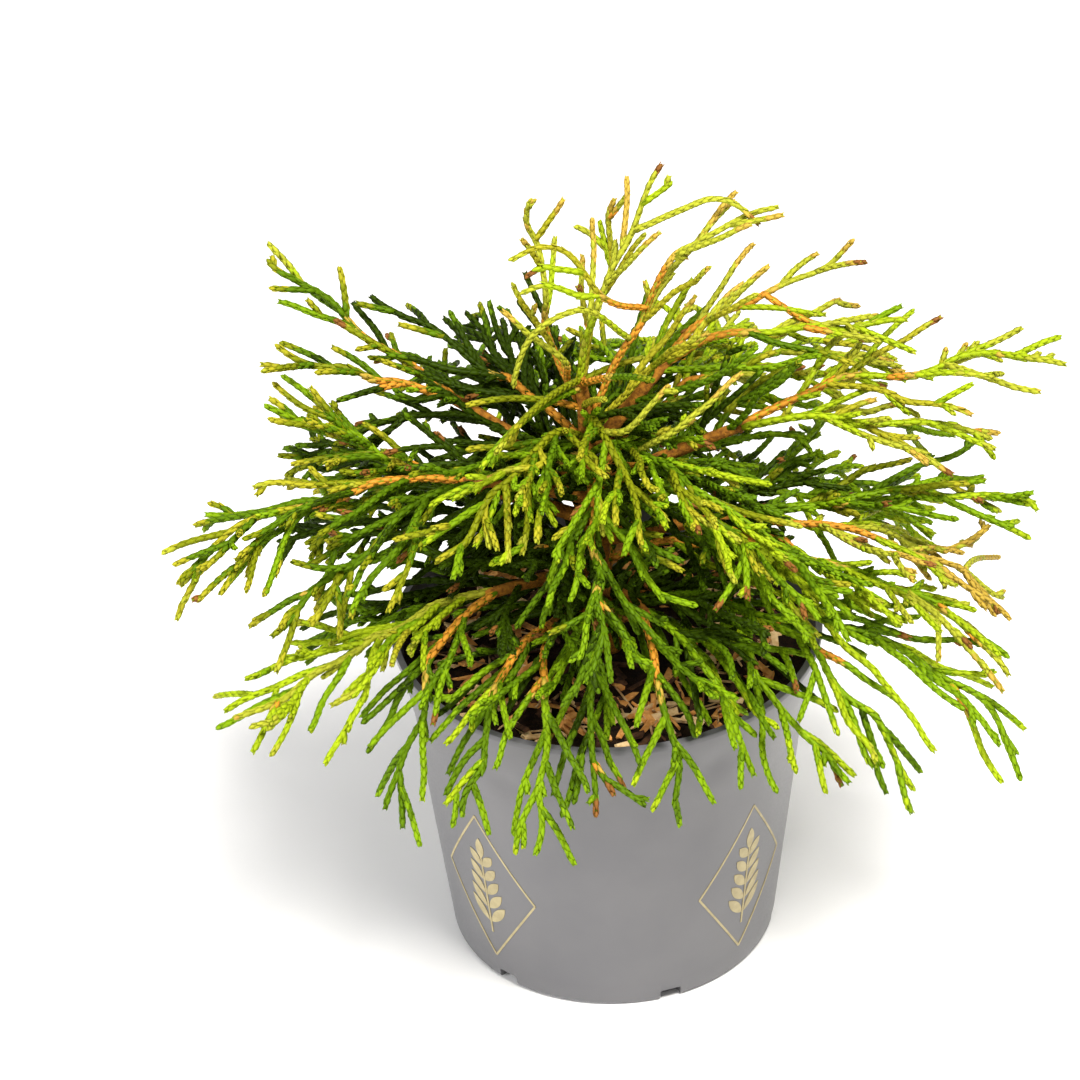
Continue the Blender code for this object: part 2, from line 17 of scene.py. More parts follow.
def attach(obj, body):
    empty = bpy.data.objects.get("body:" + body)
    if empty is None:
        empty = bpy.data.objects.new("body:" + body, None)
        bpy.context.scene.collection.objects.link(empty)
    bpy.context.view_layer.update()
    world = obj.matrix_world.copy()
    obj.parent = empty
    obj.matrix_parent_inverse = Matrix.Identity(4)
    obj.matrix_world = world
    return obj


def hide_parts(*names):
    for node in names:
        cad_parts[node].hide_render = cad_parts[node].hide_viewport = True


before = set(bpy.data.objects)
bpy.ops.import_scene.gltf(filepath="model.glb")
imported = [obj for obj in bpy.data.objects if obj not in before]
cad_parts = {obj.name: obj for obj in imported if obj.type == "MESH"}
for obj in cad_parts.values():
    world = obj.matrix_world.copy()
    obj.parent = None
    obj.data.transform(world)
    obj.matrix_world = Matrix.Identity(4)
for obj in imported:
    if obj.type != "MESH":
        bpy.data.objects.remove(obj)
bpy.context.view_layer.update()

MM = 0.001
UP = Vector((0, 0, 1))
GAP = 0.35
NEARLY_UPRIGHT = 0.2
MOSTLY_ALONG = 0.7
FACING_UP = 0.9

# The pot: a thin flexible wall that flares into a collar under the rim.
POT_SIDES = 144
POT_HEIGHT = 146.0
FOOT_RADIUS = 68.7
FOOT_ROUND = 1.8
COLLAR_START = 105.0
COLLAR_RADIUS = 80.6
RIM_RADIUS = 87.2
LIP_RADIUS = 88.4
LIP_HEIGHT = 3.0
LIP_ROUND = 0.7
ROUND_SHARE = 0.3
WALL = 1.7
FLOOR = 2.2
WALL_STEPS = 12
COLLAR_STEPS = 12
NOTCHES = 6
NOTCH_WIDTH = 9.0
NOTCH_HEIGHT = 5.0
NOTCH_DEPTH = 9.0
NOTCH_ROUND = 1.2
NOTCH_STEPS = 3
FIRST_NOTCH = 222.0
# Soft dents where the wall has been pressed: azimuth, height, half width, depth.
DENTS = (
    (176.0, 121.0, 13.0, 1.6),
    (151.0, 127.0, 8.0, 1.5),
    (200.0, 124.0, 7.0, 1.6),
    (211.0, 119.0, 6.5, 1.4),
    (165.0, 131.0, 6.0, 1.2),
    (190.0, 130.0, 5.5, 1.2),
    (250.0, 114.0, 24.0, 1.4),
    (112.0, 110.0, 20.0, 1.1),
    (60.0, 118.0, 22.0, 1.3),
    (330.0, 116.0, 24.0, 1.3),
)

# The plain ornament printed on the pot: a sprig of paired leaves in a frame.
PRINTS = (134.0, 226.0, 314.0, 44.0)
PRINT_CENTRE = 52.0
PRINT_PROUD = 0.12
PRINT_SUNK = 0.3
PRINT_MERGE = 0.01
FRAME_HALF_WIDTH = 25.0
FRAME_HALF_HEIGHT = 39.0
FRAME_LINE = 0.9
SPRIG_LINE = 0.9
BAR_STEP = 3.0
SPRIG_PAIRS = 5
SPRIG_LEAF = 14.0
SPRIG_LEAF_WIDTH = 4.4
SPRIG_LEAN = 38.0
SPRIG_LEAF_STEPS = 7
SPRIG_LEAF_ROUND = 0.8
# Of the frame's half height: the stalk's two ends, the lowest pair of leaves,
# the step from pair to pair and the top leaf's foot.
SPRIG_STALK = (-0.66, 0.42)
SPRIG_PAIRS_FROM = -0.5
SPRIG_PAIR_STEP = 0.2
SPRIG_TOP = 0.4
SPRIG_TOP_SIZE = 0.8
SPRIG_SHRINK = 0.09
SPRIG_ASIDE = 0.6

# The soil: a filling with an uneven top, strewn with chips and fibres of bark.
SOIL_TOP = 136.0
SOIL_SIDES = 96
SOIL_STEP = 3.0
SOIL_RELIEF = 1.3
SOIL_TOP_SPARE = 0.1
SOIL_SEED = 3
# The soil's swells and its crumbs: how close they lie, their share, their seed.
SOIL_WAVES = ((0.05, 0.9, 3), (0.35, 0.6, 8))
CHIPS = 430
CHIP_LENGTH = (2.5, 14.0)
CHIP_WIDTH = (1.0, 3.8)
CHIP_THICK = 1.0
CHIP_TILT = 0.28
CHIP_SKEW = (0.14, 0.2)
CHIP_RAISED = 1.4
CHIP_BEDDED = 0.35
CHIP_EDGE = 79.0
CHIP_SHARES = (0.24, 0.36, 0.4)
# How near the trunk each kind lies, as a share of the soil's area. The pale
# chips and fibres keep out of the middle, so that only dark chips lie in the
# shade under the crown: painted shade.
CHIP_NEAREST = (0.3, 0.18, 0.02)
FIBRE_NEAREST = 0.3
FIBRES = 80
FIBRE_LENGTH = (10.0, 30.0)
FIBRE_WIDTH = (0.5, 1.0)
FIBRE_THICK = 0.5
FIBRE_TILT = 0.1
LEVEL_WITHIN = 10.0
LEVEL_FADE = 12.0
# A splinter's triangles, from its lower four corners and its upper four.
CHIP_FACES = (
    (0, 2, 1), (0, 3, 2), (4, 5, 6), (4, 6, 7), (0, 1, 5), (0, 5, 4),
    (1, 2, 6), (1, 6, 5), (2, 3, 7), (2, 7, 6), (3, 0, 4), (3, 4, 7),
)

# The trunk: height, lean in x and y, and radius, from the flat cut up.
FLARE_TOP = 143.0
FLARE_WAIST = 0.82
TRUNK_RINGS = (
    (136.3, 0.0, 0.0, 9.4),
    (139.5, 0.0, 0.0, 6.6),
    (145.0, -0.2, 0.1, 5.2),
    (160.0, -0.8, 0.6, 4.6),
    (185.0, -2.4, 1.6, 4.1),
    (210.0, -4.2, 2.4, 3.6),
    (238.0, -6.0, 3.4, 3.0),
    (262.0, -7.6, 4.4, 2.3),
)

# The boughs: foot height, azimuth clockwise from the back, rise at the foot,
# length and rise at the tip.
BOUGH_STEPS = 4
BOUGH_FOOT_RADIUS = 2.9
BOUGH_TIP_RADIUS = 2.2
BOUGHS = {
    "bough_01": (214.0, 292.0, 30.0, 62.0, 24.0),
    "bough_02": (197.0, 268.0, 24.0, 50.0, 20.0),
    "bough_03": (208.0, 249.0, 28.0, 52.0, 16.0),
    "bough_04": (173.0, 236.0, 16.0, 50.0, 6.0),
    "bough_05": (161.0, 208.0, 24.0, 44.0, 10.0),
    "bough_06": (166.0, 160.0, 26.0, 44.0, 10.0),
    "bough_07": (160.0, 122.0, 20.0, 54.0, 10.0),
    "bough_08": (187.0, 100.0, 20.0, 56.0, 8.0),
    "bough_09": (211.0, 82.0, 24.0, 62.0, 16.0),
    "bough_10": (230.0, 64.0, 44.0, 44.0, 40.0),
    "bough_11": (189.0, 336.0, 30.0, 46.0, 20.0),
    "bough_12": (202.0, 18.0, 30.0, 46.0, 18.0),
}

# The masses of foliage: what carries the stem, where on it (height on the
# trunk, or side of the bough's tip), then the tip's azimuth, reach and height,
# the rise at the foot, the rise at the tip, and the tint.
Mass = namedtuple("Mass", "carrier place azimuth reach height rise tip_rise tint")
# The deep tint of the masses on the left and at the back is partly their own darker green and
# partly painted shade.
MASSES = {
    "leader_top": Mass("trunk", 262.0, 50.0, 36.0, 343.0, 86.0, 70.0, "gold"),
    "leader_back": Mass("trunk", 257.0, 12.0, 42.0, 324.0, 60.0, 80.0, "gold"),
    "leader_left": Mass("trunk", 252.0, 312.0, 32.0, 336.0, 50.0, 80.0, "gold"),
    "leader_right": Mass("trunk", 246.0, 76.0, 75.0, 326.0, 68.0, -8.0, "gold"),
    "leader_front": Mass("trunk", 240.0, 92.0, 66.0, 312.0, 50.0, 50.0, "gold"),
    "spray_right_01": Mass("bough_10", -1, 67.0, 112.0, 296.0, 38.0, 42.0, "gold"),
    "spray_right_02": Mass("bough_10", 1, 77.0, 130.0, 268.0, 34.0, 22.0, "lime"),
    "spray_right_03": Mass("bough_09", -1, 82.0, 186.0, 248.0, 18.0, -14.0, "lime"),
    "spray_right_04": Mass("bough_09", 1, 87.0, 156.0, 224.0, 10.0, -20.0, "lime"),
    "spray_right_05": Mass("bough_08", -1, 89.0, 170.0, 196.0, 20.0, -24.0, "green"),
    "spray_right_06": Mass("bough_08", 1, 99.0, 162.0, 164.0, 6.0, -46.0, "gold"),
    "spray_right_07": Mass("trunk", 178.0, 106.0, 167.0, 153.0, 34.0, -40.0, "lime"),
    "spray_right_08": Mass("bough_07", -1, 115.0, 179.0, 130.0, 14.0, -52.0, "green"),
    "spray_right_09": Mass("bough_07", 1, 127.0, 150.0, 122.0, 10.0, -60.0, "green"),
    "spray_right_10": Mass("trunk", 150.0, 137.0, 132.0, 128.0, 44.0, -60.0, "green"),
    "spray_front_01": Mass("bough_06", -1, 151.0, 112.0, 141.0, 12.0, -58.0, "green"),
    "spray_front_02": Mass("bough_06", 1, 168.0, 106.0, 133.0, 12.0, -66.0, "green"),
    "spray_front_03": Mass("trunk", 171.0, 184.0, 110.0, 133.0, 36.0, -68.0, "green"),
    "spray_front_04": Mass("bough_05", -1, 195.0, 122.0, 121.0, 14.0, -70.0, "green"),
    "spray_front_05": Mass("bough_05", 1, 208.0, 124.0, 131.0, 12.0, -62.0, "green"),
    "spray_left_01": Mass("bough_04", -1, 221.0, 132.0, 129.0, 8.0, -60.0, "green"),
    "spray_left_02": Mass("bough_04", 1, 238.0, 174.0, 171.0, 10.0, -6.0, "lime"),
    "spray_left_03": Mass("bough_03", -1, 243.0, 148.0, 190.0, 12.0, -26.0, "green"),
    "spray_left_04": Mass("bough_03", 1, 253.0, 175.0, 211.0, 22.0, -34.0, "olive"),
    "spray_left_05": Mass("trunk", 157.0, 264.0, 127.0, 142.0, 40.0, -50.0, "deep"),
    "spray_left_06": Mass("trunk", 181.0, 280.0, 133.0, 176.0, 30.0, -24.0, "deep"),
    "spray_left_07": Mass("bough_02", 1, 285.0, 131.0, 211.0, 16.0, -12.0, "deep"),
    "spray_left_08": Mass("bough_02", -1, 270.0, 129.0, 258.0, 30.0, 30.0, "olive"),
    "spray_left_09": Mass("bough_01", -1, 279.0, 130.0, 274.0, 26.0, 36.0, "olive"),
    "spray_left_10": Mass("bough_01", 1, 293.0, 143.0, 287.0, 26.0, 28.0, "olive"),
    "spray_left_11": Mass("trunk", 234.0, 303.0, 108.0, 268.0, 34.0, 20.0, "deep"),
    "spray_left_12": Mass("trunk", 222.0, 323.0, 88.0, 256.0, 40.0, 10.0, "deep"),
    "spray_back_01": Mass("bough_11", -1, 328.0, 128.0, 207.0, 18.0, -16.0, "deep"),
    "spray_back_02": Mass("bough_11", 1, 346.0, 134.0, 184.0, 14.0, -36.0, "green"),
    "spray_back_03": Mass("bough_12", -1, 8.0, 136.0, 196.0, 18.0, -26.0, "green"),
    "spray_back_04": Mass("bough_12", 1, 27.0, 140.0, 214.0, 18.0, -10.0, "lime"),
    "spray_back_05": Mass("trunk", 216.0, 48.0, 146.0, 222.0, 34.0, -12.0, "lime"),
    "spray_back_06": Mass("trunk", 164.0, 306.0, 142.0, 156.0, 40.0, -40.0, "deep"),
    "spray_back_07": Mass("trunk", 152.0, 8.0, 140.0, 140.0, 48.0, -56.0, "green"),
    "spray_back_08": Mass("trunk", 169.0, 62.0, 156.0, 154.0, 38.0, -40.0, "green"),
    "crown_01": Mass("trunk", 230.0, 143.0, 98.0, 222.0, 48.0, -16.0, "lime"),
    "crown_02": Mass("trunk", 218.0, 181.0, 100.0, 192.0, 44.0, -40.0, "green"),
    "crown_03": Mass("trunk", 237.0, 221.0, 96.0, 226.0, 46.0, -16.0, "lime"),
    "crown_04": Mass("trunk", 200.0, 124.0, 114.0, 190.0, 36.0, -34.0, "green"),
    "crown_05": Mass("trunk", 243.0, 170.0, 74.0, 236.0, 54.0, -12.0, "lime"),
}

# The rule that every mass grows by, the same as the solids'.
SEED = 41
SEEDS_APART = 1000
SPINE_STEP = 15.0
SPINE_LEAST_STEPS = 4
SPINE_ROOT_RADIUS = 1.6
SPINE_RADIUS = 2.3
SPINE_TIP_RADIUS = 1.7
SPINE_PULL = 0.36
SPINE_SWAY = 0.05
FORK_TURN = 0.2
FORK_CLEAR = 0.25
STEM_HELD = 13.0
WHIP_HELD = 4.0
WHIP_STEP = 11.0
WHIP_STEPS = (3, 4)
WHIP_RADIUS = 2.1
WHIP_ROOT_RADIUS = 0.6 * WHIP_RADIUS
WHIP_TIP_RADIUS = 1.6
WHIP_SPACING = 13.0
OPEN_ABOVE_TIP = 290.0
OPEN_SPACING = 19.0
WHIPS_FROM = 0.16
WHIPS_TO = 0.93
FEWEST_WHIPS = 4
MOST_WHIPS = 10
WHIP_SHARE = 0.49
WHIP_SHRINK = 0.7
WHIP_VARY = (0.8, 1.15)
WHIP_ROLL = 32.0
WHIP_TRIES = 3
WHIP_JITTER = 0.6
LEAST_SHARE = 0.45
CUT_BACK = 3.0
SHORTEST_WHIP = 11.0
LONGEST_WHIP = 56.0
WHIP_ANGLE = (24.0, 40.0)
WHIP_DROOP = 0.16
WHIP_BEND = 0.22
DROOP_VARY = (0.3, 1.4)
NECK = 0.78
TIP_SHARE = 0.62
TRIES = 14
LOWEST_TWIG = 108.0
POT_CLEAR = 1.0
SOIL_CLEAR = 3.0
SAMPLE_STEP = 1.6
SAMPLE_SPARE = 0.15
REACH_SPARE = 4.0
HEIGHT_SPARE = 8.0

# The finer growth: more side shoots, then twigs on them, then short stubs on
# the twigs and short spurs on the stems and side shoots.
FINE_SEED = 97
INSIDE_SEED = 679
RISER_SEED = 1067
WARM_SEED = 291
PATH_STEP = 1.5
ROUNDING = 6
ROOTED = 3.0
CELL = 4.4
TOUCH = 0.84
EXTRA_SHOOTS = 0.95
EXTRA_FROM = 0.08
EXTRA_OVER = 0.88
EXTRA_LEAST = 0.6
TWIG_ANGLE = (20.0, 48.0)
TWIG_ROLL = 66.0
TWIG_DROOP = (-0.14, 0.36)
TWIG_BEND = (-0.05, 0.5)
TWIG_CURL = 0.4
TWIG_TAPER = (1.15, 0.75)
TWIG_TRIES = 2
FINE_HELD = 4.5
FINE_CUT = 1.5
LEAST_FINE = 3.6
FEWEST_POINTS = 4
UPRIGHT_TURNS = 7
FINE_SPARE = 5.0
JITTER = (0.1, 0.9)
LEAST_FULL = 0.16
# Each kind of fine growth: how far apart along its bearer, where it begins on
# it, its lengths and radii, the least share that grows, and its stray in place.
Kind = namedtuple("Kind", "spacing start lengths radii least stray")
TWIGS = Kind(7.8, 0.12, (12.0, 34.0), (1.65, 1.4), LEAST_FULL, (0.1, 0.8))
STUBS = Kind(8.0, 0.25, (4.5, 12.0), (1.55, 1.35), 0.45, (0.1, 0.8))
SPURS = Kind(8.0, 0.4, (4.5, 11.0), (1.55, 1.35), 0.55, (0.1, 0.8))
# A gentle wander: how far, over what run, and how much of the foot stays firm.
SWAY = 0.1
SWAY_WAVE = 24.0
SWAY_GROWS = 25.0
SWAY_LONGEST = 60.0
SWAY_STARTS = 90.0
SWAY_APART = (7.3, 3.1)
STEM_FIRM = 20.0
STRAND_FIRM = 8.0
SHOOT_FIRM = 3.0
# Shoots that fill the crown's inside, from the boughs and from the trunk.
BOUGH_SHOOTS = 9
BOUGH_SHOOTS_FROM = 0.1
BOUGH_SHOOTS_OVER = 0.88
BOUGH_SHOOT_LENGTH = (34.0, 66.0)
BOUGH_SHOOT_TOP = 300.0
TRUNK_SHOOT_LENGTH = (30.0, 80.0)
TRUNK_SHOOT_TURN = 137.5
TRUNK_SHOOT_STRAY = 20.0
TRUNK_SHOOT_RISE = (8.0, 56.0)
TRUNK_SHOOT_DROOP = (0.05, 0.4)
TRUNK_SHOOT_TOP = 306.0
TRUNK_SHOOT_LEAST = 16.0
INNER_REACH = 118.0
INNER_SPARE = 8.0
INNER_ROLL = 80.0
INNER_ANGLE = (28.0, 62.0)
# On the trunk: how many shoots, between which heights, and how evenly spread,
# where less than 1 crowds them towards the top.
TRUNK_SHOOTS = ((94, (166.0, 260.0), 0.7), (26, (148.0, 168.0), 1.0))
# Strands that arch out of the leaders: what bears each and where on it, its
# bronze share, then the places it runs through, as x, y and height.
STRAND_RADII = (1.7, 1.3)
STRAND_BROWN_TIPS = 0.3
STRANDS = {
    "arch_left": (
        "leader_right", 0.42, 0.3,
        ((4, 0, 298), (-11, -2, 317), (-21, -3, 325), (-31, -3, 324)),
    ),
    "arch_comb": ("arch_left", 0.52, 0.0, ((-14, -5, 316), (-21, -6, 318), (-28, -6, 314))),
    "arch_tail": (
        "arch_left", 0.36, 0.0,
        ((-6, -4, 303), (-15, -6, 307), (-23, -7, 309), (-32, -7, 306)),
    ),
    "hook_left": (
        "leader_right", 0.3, 0.0,
        ((-2, -6, 295), (-15, -9, 297), (-26, -9, 288), (-36, -8, 267)),
    ),
    "low_left": ("leader_left", 0.1, 0.25, ((-14, -2, 273), (-24, -3, 285), (-39, -3, 297))),
    "thin_arc": (
        "leader_top", 0.72, 0.0,
        ((35, 15, 329), (45, 14, 332), (55, 14, 330), (63, 14, 324)),
    ),
    "right_arc": ("spray_right_01", 0.55, 0.4, ((86, 27, 268), (98, 26, 268), (109, 25, 260))),
}
# Twiggy shoots that rise over the middle of the crown, told in the same way.
RISERS = {
    "rise_right": ("crown_01", 0.3, 0.0, ((28, -28, 256), (43, -25, 266), (57, -18, 273))),
    "rise_middle": ("crown_05", 0.35, 0.0, ((9, -31, 258), (18, -33, 268), (25, -31, 276))),
    "rise_left": ("crown_03", 0.35, 0.0, ((-24, -34, 246), (-38, -38, 246), (-50, -40, 242))),
}

# The scale leaves, in crossed pairs down every cord.
STEM_RADII = (2.05, 1.5)
SHOOT_RADII = (1.8, 1.45)
TOP_SLIM = 0.9
CORD_SLIM = 0.88
PAIR_PITCH = 1.5
LEAF_LENGTH = 2.02
LEAF_WIDTH = 0.92
SIDE_LEAF_WIDTH = 0.86
LEAF_HEIGHT = 0.46
LEAF_BASE = 0.52
LEAF_VARY = 0.07
END_TAPER = (0.86, 1.02)
END_SHORT = (0.56, 0.8)
FIRST_LEAF = 0.2
CORE_SHARE = 0.88
CORE_STEP = 5.0
CORE_SIDES = 5
CORE_END = 0.5
CORE_GUIDE = (0.31, 0.52, 0.79)
# The stalks are a little darker than their leaves: painted shade in the gaps between the
# scales.
STALK_PAINTED_SHADE = 0.9
MOST_TRIANGLES = 190000

# Across, outward and along, in half widths, heights and lengths.
LEAF_POINTS = (
    (-0.66, 0.0, 0.0), (0.0, 0.62, -0.02), (0.66, 0.0, 0.0),
    (-1.0, 0.05, 0.36), (0.0, 0.98, 0.4), (1.0, 0.05, 0.36),
    (-0.72, 0.14, 0.75), (0.0, 1.02, 0.77), (0.72, 0.14, 0.75),
    (0.0, 0.74, 1.0),
)
LEAF_FACES = (
    (0, 3, 4), (0, 4, 1), (1, 4, 5), (1, 5, 2), (3, 6, 7), (3, 7, 4), (4, 7, 8), (4, 8, 5),
    (6, 9, 7), (7, 9, 8), (0, 2, 5), (0, 5, 3), (3, 5, 8), (3, 8, 6), (6, 8, 9), (0, 1, 2),
)

# The foliage colours, from the deep greens to the sunned gold, then the
# bronze of the older stems and the brown of spent tips, each with its slot.
# The deep and green shades are darkened in part as painted shade, for the
# cords inside the crown and on its shaded side.
SHADES = {
    "deep": ((0.024, 0.045, 0.001), "foliage_deep"),
    "green": ((0.078, 0.145, 0.0025), "foliage_green"),
    "bright": ((0.156, 0.262, 0.004), "foliage_green"),
    "olive": ((0.172, 0.195, 0.005), "foliage_olive"),
    "lime": ((0.285, 0.372, 0.008), "foliage_lime"),
    "khaki": ((0.310, 0.290, 0.014), "foliage_olive"),
    "yellow": ((0.330, 0.345, 0.024), "foliage_lime"),
    "gold": ((0.420, 0.285, 0.040), "foliage_gold"),
    "bronze": ((0.500, 0.215, 0.022), "foliage_gold"),
    "brown": ((0.200, 0.082, 0.018), "foliage_olive"),
}
# Each mass's tint: its tone, the odds that its stem is bronze, and the shade
# of the leaves that it gives way to.
Tint = namedtuple("Tint", "tone bronze_odds shade")
TINTS = {
    "deep": Tint(0.8, 0.3, "deep"),
    "green": Tint(1.85, 0.45, "bright"),
    "olive": Tint(1.75, 0.75, "green"),
    "lime": Tint(3.0, 0.6, "lime"),
    "gold": Tint(3.95, 0.6, "gold"),
}
# Tones run up a ramp of shades, and the warm cords have a ramp of their own.
RAMP = ("deep", "green", "bright", "lime", "yellow", "gold")
WARM_RAMP = ("deep", "green", "olive", "khaki", "yellow", "gold")
WARM_ABOVE = 185.0
WARM_FULLY = 300.0
WARM_MOST = 0.66
WARM_LEFT = -60.0
WARM_LEFT_MOST = 0.8
WARM_TIP = 9.0
WARM_TIP_TONE = 1.0
TONE_ALONG = 1.2
TONE_BY_CORD = 0.6
TONE_BY_LEAF = 0.14
TONE_TO_TIP = 0.8
# Painted shade: cords deep inside the crown are darker.
INSIDE_PAINTED_SHADE = 2.1
TONE_LOW = 0.5
LOW_TONE_FROM = 165.0
LOW_TONE_OVER = 60.0
# Painted light: cords towards the right, where the key lamp falls, are lighter.
RIGHT_PAINTED_LIGHT = 0.45
RIGHT_TONE_FROM = 15.0
RIGHT_TONE_OVER = 70.0
MAIN_SHARE = 0.6
# The inner shoots' tints are painted light and shade: lime above the lit height, deep on the
# shaded side and below the shaded height.
INNER_LIT = 246.0
INNER_SHADED = 200.0
SHADED_SIDE = (240.0, 345.0)
CROWN_CENTRE = (5.0, 0.0, 215.0)
CROWN_HALF = (165.0, 120.0, 110.0)
BRONZE_TO = 0.42
BRONZE_VARY = (0.7, 1.3)
BRONZE_SHOOTS = 0.08
BRONZE_SHOOT_TO = 0.3
BRONZE_INNER = 0.5
BRONZE_INNER_TO = 0.5
BRONZE_FADE = 0.07
BROWN_TIPS = 0.04
BROWN_LENGTH = 7.0
# How full the crown is: all over inside, thinner outwards, thinnest on top.
# It is open above, low at the front, and at the right but for a middle band.
FULL_WITHIN = 1.12
FULL_BEHIND = 0.4
THINNING = 0.98
OPEN_ABOVE = 250.0
OPEN_SHARE = 0.1
LOW_BELOW = 172.0
LOW_SHARE = 0.25
BEHIND_FROM = 30.0
RIGHT_FROM = 60.0
RIGHT_BAND = (150.0, 224.0)
RIGHT_SHARE = 0.4

# The bark's skin: its ridges and knots, and how it ends.
BARK_SIDES = 20
BARK_STEP = 2.2
BARK_RELIEF = 0.5
BARK_RIDGES = 0.9
BARK_KNOTS = 0.45
RIDGE_TURNS = 2.6
RIDGE_RUN = 0.16
KNOT_RUN = 0.5
KNOT_SEED = 3
TRUNK_BARK_SEED = 1.0
BOUGH_BARK_SEED = 7.0
BOUGH_BARK_STEP = 3
THIN_BARK = 3.5
ROOTS = 5
LIMB_SWELL = 1.06
LIMB_ON = 1.5
LIMB_END = 0.7
TRUNK_END = 0.75

# Colours of the bark, soil, plastic, print and floor.
# The bark is its own orange-brown, kept darker in part as painted shade, since the boughs lie
# inside the crown.
BARK_DARK = (0.13, 0.046, 0.008, 1.0)
BARK_LIGHT = (0.40, 0.165, 0.018, 1.0)
SOIL_DARK = (0.006, 0.004, 0.003, 1.0)
SOIL_LIGHT = (0.024, 0.012, 0.006, 1.0)
CHIP_COLOURS = {
    "chips_tan": ((0.62, 0.37, 0.15, 1.0), (0.90, 0.64, 0.34, 1.0)),
    "chips_ochre": ((0.52, 0.20, 0.045, 1.0), (0.78, 0.38, 0.11, 1.0)),
    "chips_brown": ((0.030, 0.014, 0.008, 1.0), (0.10, 0.045, 0.02, 1.0)),
}
FIBRE_COLOURS = ((0.42, 0.22, 0.09, 1.0), (0.70, 0.46, 0.22, 1.0))
PLASTIC_DARK = (0.105, 0.103, 0.109, 1.0)
PLASTIC_LIGHT = (0.118, 0.115, 0.120, 1.0)
PRINT_DARK = (0.30, 0.245, 0.12, 1.0)
PRINT_LIGHT = (0.40, 0.33, 0.17, 1.0)
FLOOR_COLOUR = (0.93, 0.925, 0.92, 1.0)
FLOOR_SIZE = 12.0
FLOOR_DROP = 0.0004
FLOOR_ROUGH = 0.8
FLOOR_SHINE = 0.1

# Each finish: its roughness and shine, how small its mottle and its grain are,
# then the strength of its relief and the depth of it in millimetres.
FINISHES = {
    "leaf": (0.42, 0.05, 260.0, 1500.0, 0.25, 0.12),
    "bark": (0.85, 0.1, 420.0, 1300.0, 0.9, 0.6),
    "plastic": (0.33, 0.5, 26.0, 900.0, 0.1, 0.12),
    "earth": (0.95, 0.1, 420.0, 1400.0, 1.0, 1.2),
    "chip": (0.8, 0.15, 380.0, 1500.0, 0.8, 0.4),
    "fibre": (0.8, 0.15, 300.0, 1500.0, 0.5, 0.3),
    "gilt": (0.5, 0.5, 200.0, 1500.0, 0.2, 0.1),
}
MOTTLE_SPREAD = (0.35, 0.65)
MOTTLE_SOFTNESS = 0.55
MOTTLE_DETAIL = 4.0
GRAIN_DETAIL = 6.0
GLOSS_VARY = 0.08
LEAF_MOTTLE = (0.86, 1.14)
# Edges sharper than this many degrees stay sharp.
POT_SMOOTH = 32.0
SOIL_SMOOTH = 50.0
CHIP_SMOOTH = 20.0
PRINT_SMOOTH = 30.0

# The room's light, and two lamps: place, size, power and colour.
ROOM_COLOUR = (1.0, 0.99, 0.98, 1.0)
ROOM_STRENGTH = 0.52
LAMP_AIM = (0.0, 0.0, 0.18)
LAMPS = {
    "key": ((0.34, -0.56, 1.62), 0.62, 50.0, (1.0, 0.98, 0.94)),
    "fill": ((-1.25, -0.7, 0.55), 0.8, 15.0, (0.97, 0.98, 1.0)),
}

# The camera, found from the pot's edges and the scale of the picture.
LENS = 133.6
SENSOR = 36.0
NEAR_CLIP = 0.05
CAMERA_PLACE = (-0.025878, -1.343845, 1.088362)
CAMERA_TILT = 56.17
CAMERA_ROLL = -2.186


def clamped(value):
    """The value, held between 0 and 1."""
    return min(1.0, max(0.0, value))


def heading(azimuth, rise):
    """The unit vector at this azimuth, clockwise from the back, and rise."""
    turn = math.radians(azimuth)
    lift = math.radians(rise)
    level = math.cos(lift)
    return Vector((level * math.sin(turn), level * math.cos(turn), math.sin(lift)))


def polar(azimuth, reach, height):
    spot = heading(azimuth, 0) * reach
    spot.z = height
    return spot


def between(table, value, column):
    """The column's value in the table of rings, read at this height."""
    for low, high in zip(table, table[1:]):
        if value <= high[0]:
            share = (value - low[0]) / (high[0] - low[0])
            return low[column] + share * (high[column] - low[column])
    return table[-1][column]


def trunk_centre(height):
    lean = [between(TRUNK_RINGS, height, column) for column in (1, 2)]
    return Vector((lean[0], lean[1], height))


def trunk_radius(height):
    return between(TRUNK_RINGS, height, 3)


def wall_radius(height):
    """The pot's outer radius at this height."""
    if height < COLLAR_START:
        share = height / COLLAR_START
        return FOOT_RADIUS + share * (COLLAR_RADIUS - FOOT_RADIUS)
    share = (height - COLLAR_START) / (POT_HEIGHT - COLLAR_START)
    return COLLAR_RADIUS + share * (RIM_RADIUS - COLLAR_RADIUS)


def hermite(start, start_way, end, end_way, pull, steps):
    """Points on a cubic from start to end that leaves and arrives those ways."""
    chord = (end - start).length
    first = start + start_way * chord * pull
    second = end - end_way * chord * pull
    points = []
    for step in range(steps + 1):
        t = step / steps
        u = 1 - t
        spot = start * u**3 + first * 3 * u * u * t
        spot += second * 3 * u * t * t + end * t**3
        points.append(spot)
    return points


def ways_along(points):
    """The curve's direction at each of its points."""
    ways = []
    last = len(points) - 1
    for i in range(len(points)):
        way = points[min(i + 1, last)] - points[max(i - 1, 0)]
        ways.append(way.normalized())
    return ways


def path_length(points):
    return sum((b - a).length for a, b in zip(points, points[1:]))


def point_on(points, share):
    """The point and the direction at this share of the curve."""
    place = share * (len(points) - 1)
    i = min(int(place), len(points) - 2)
    spot = points[i].lerp(points[i + 1], place - i)
    return spot, (points[i + 1] - points[i]).normalized()


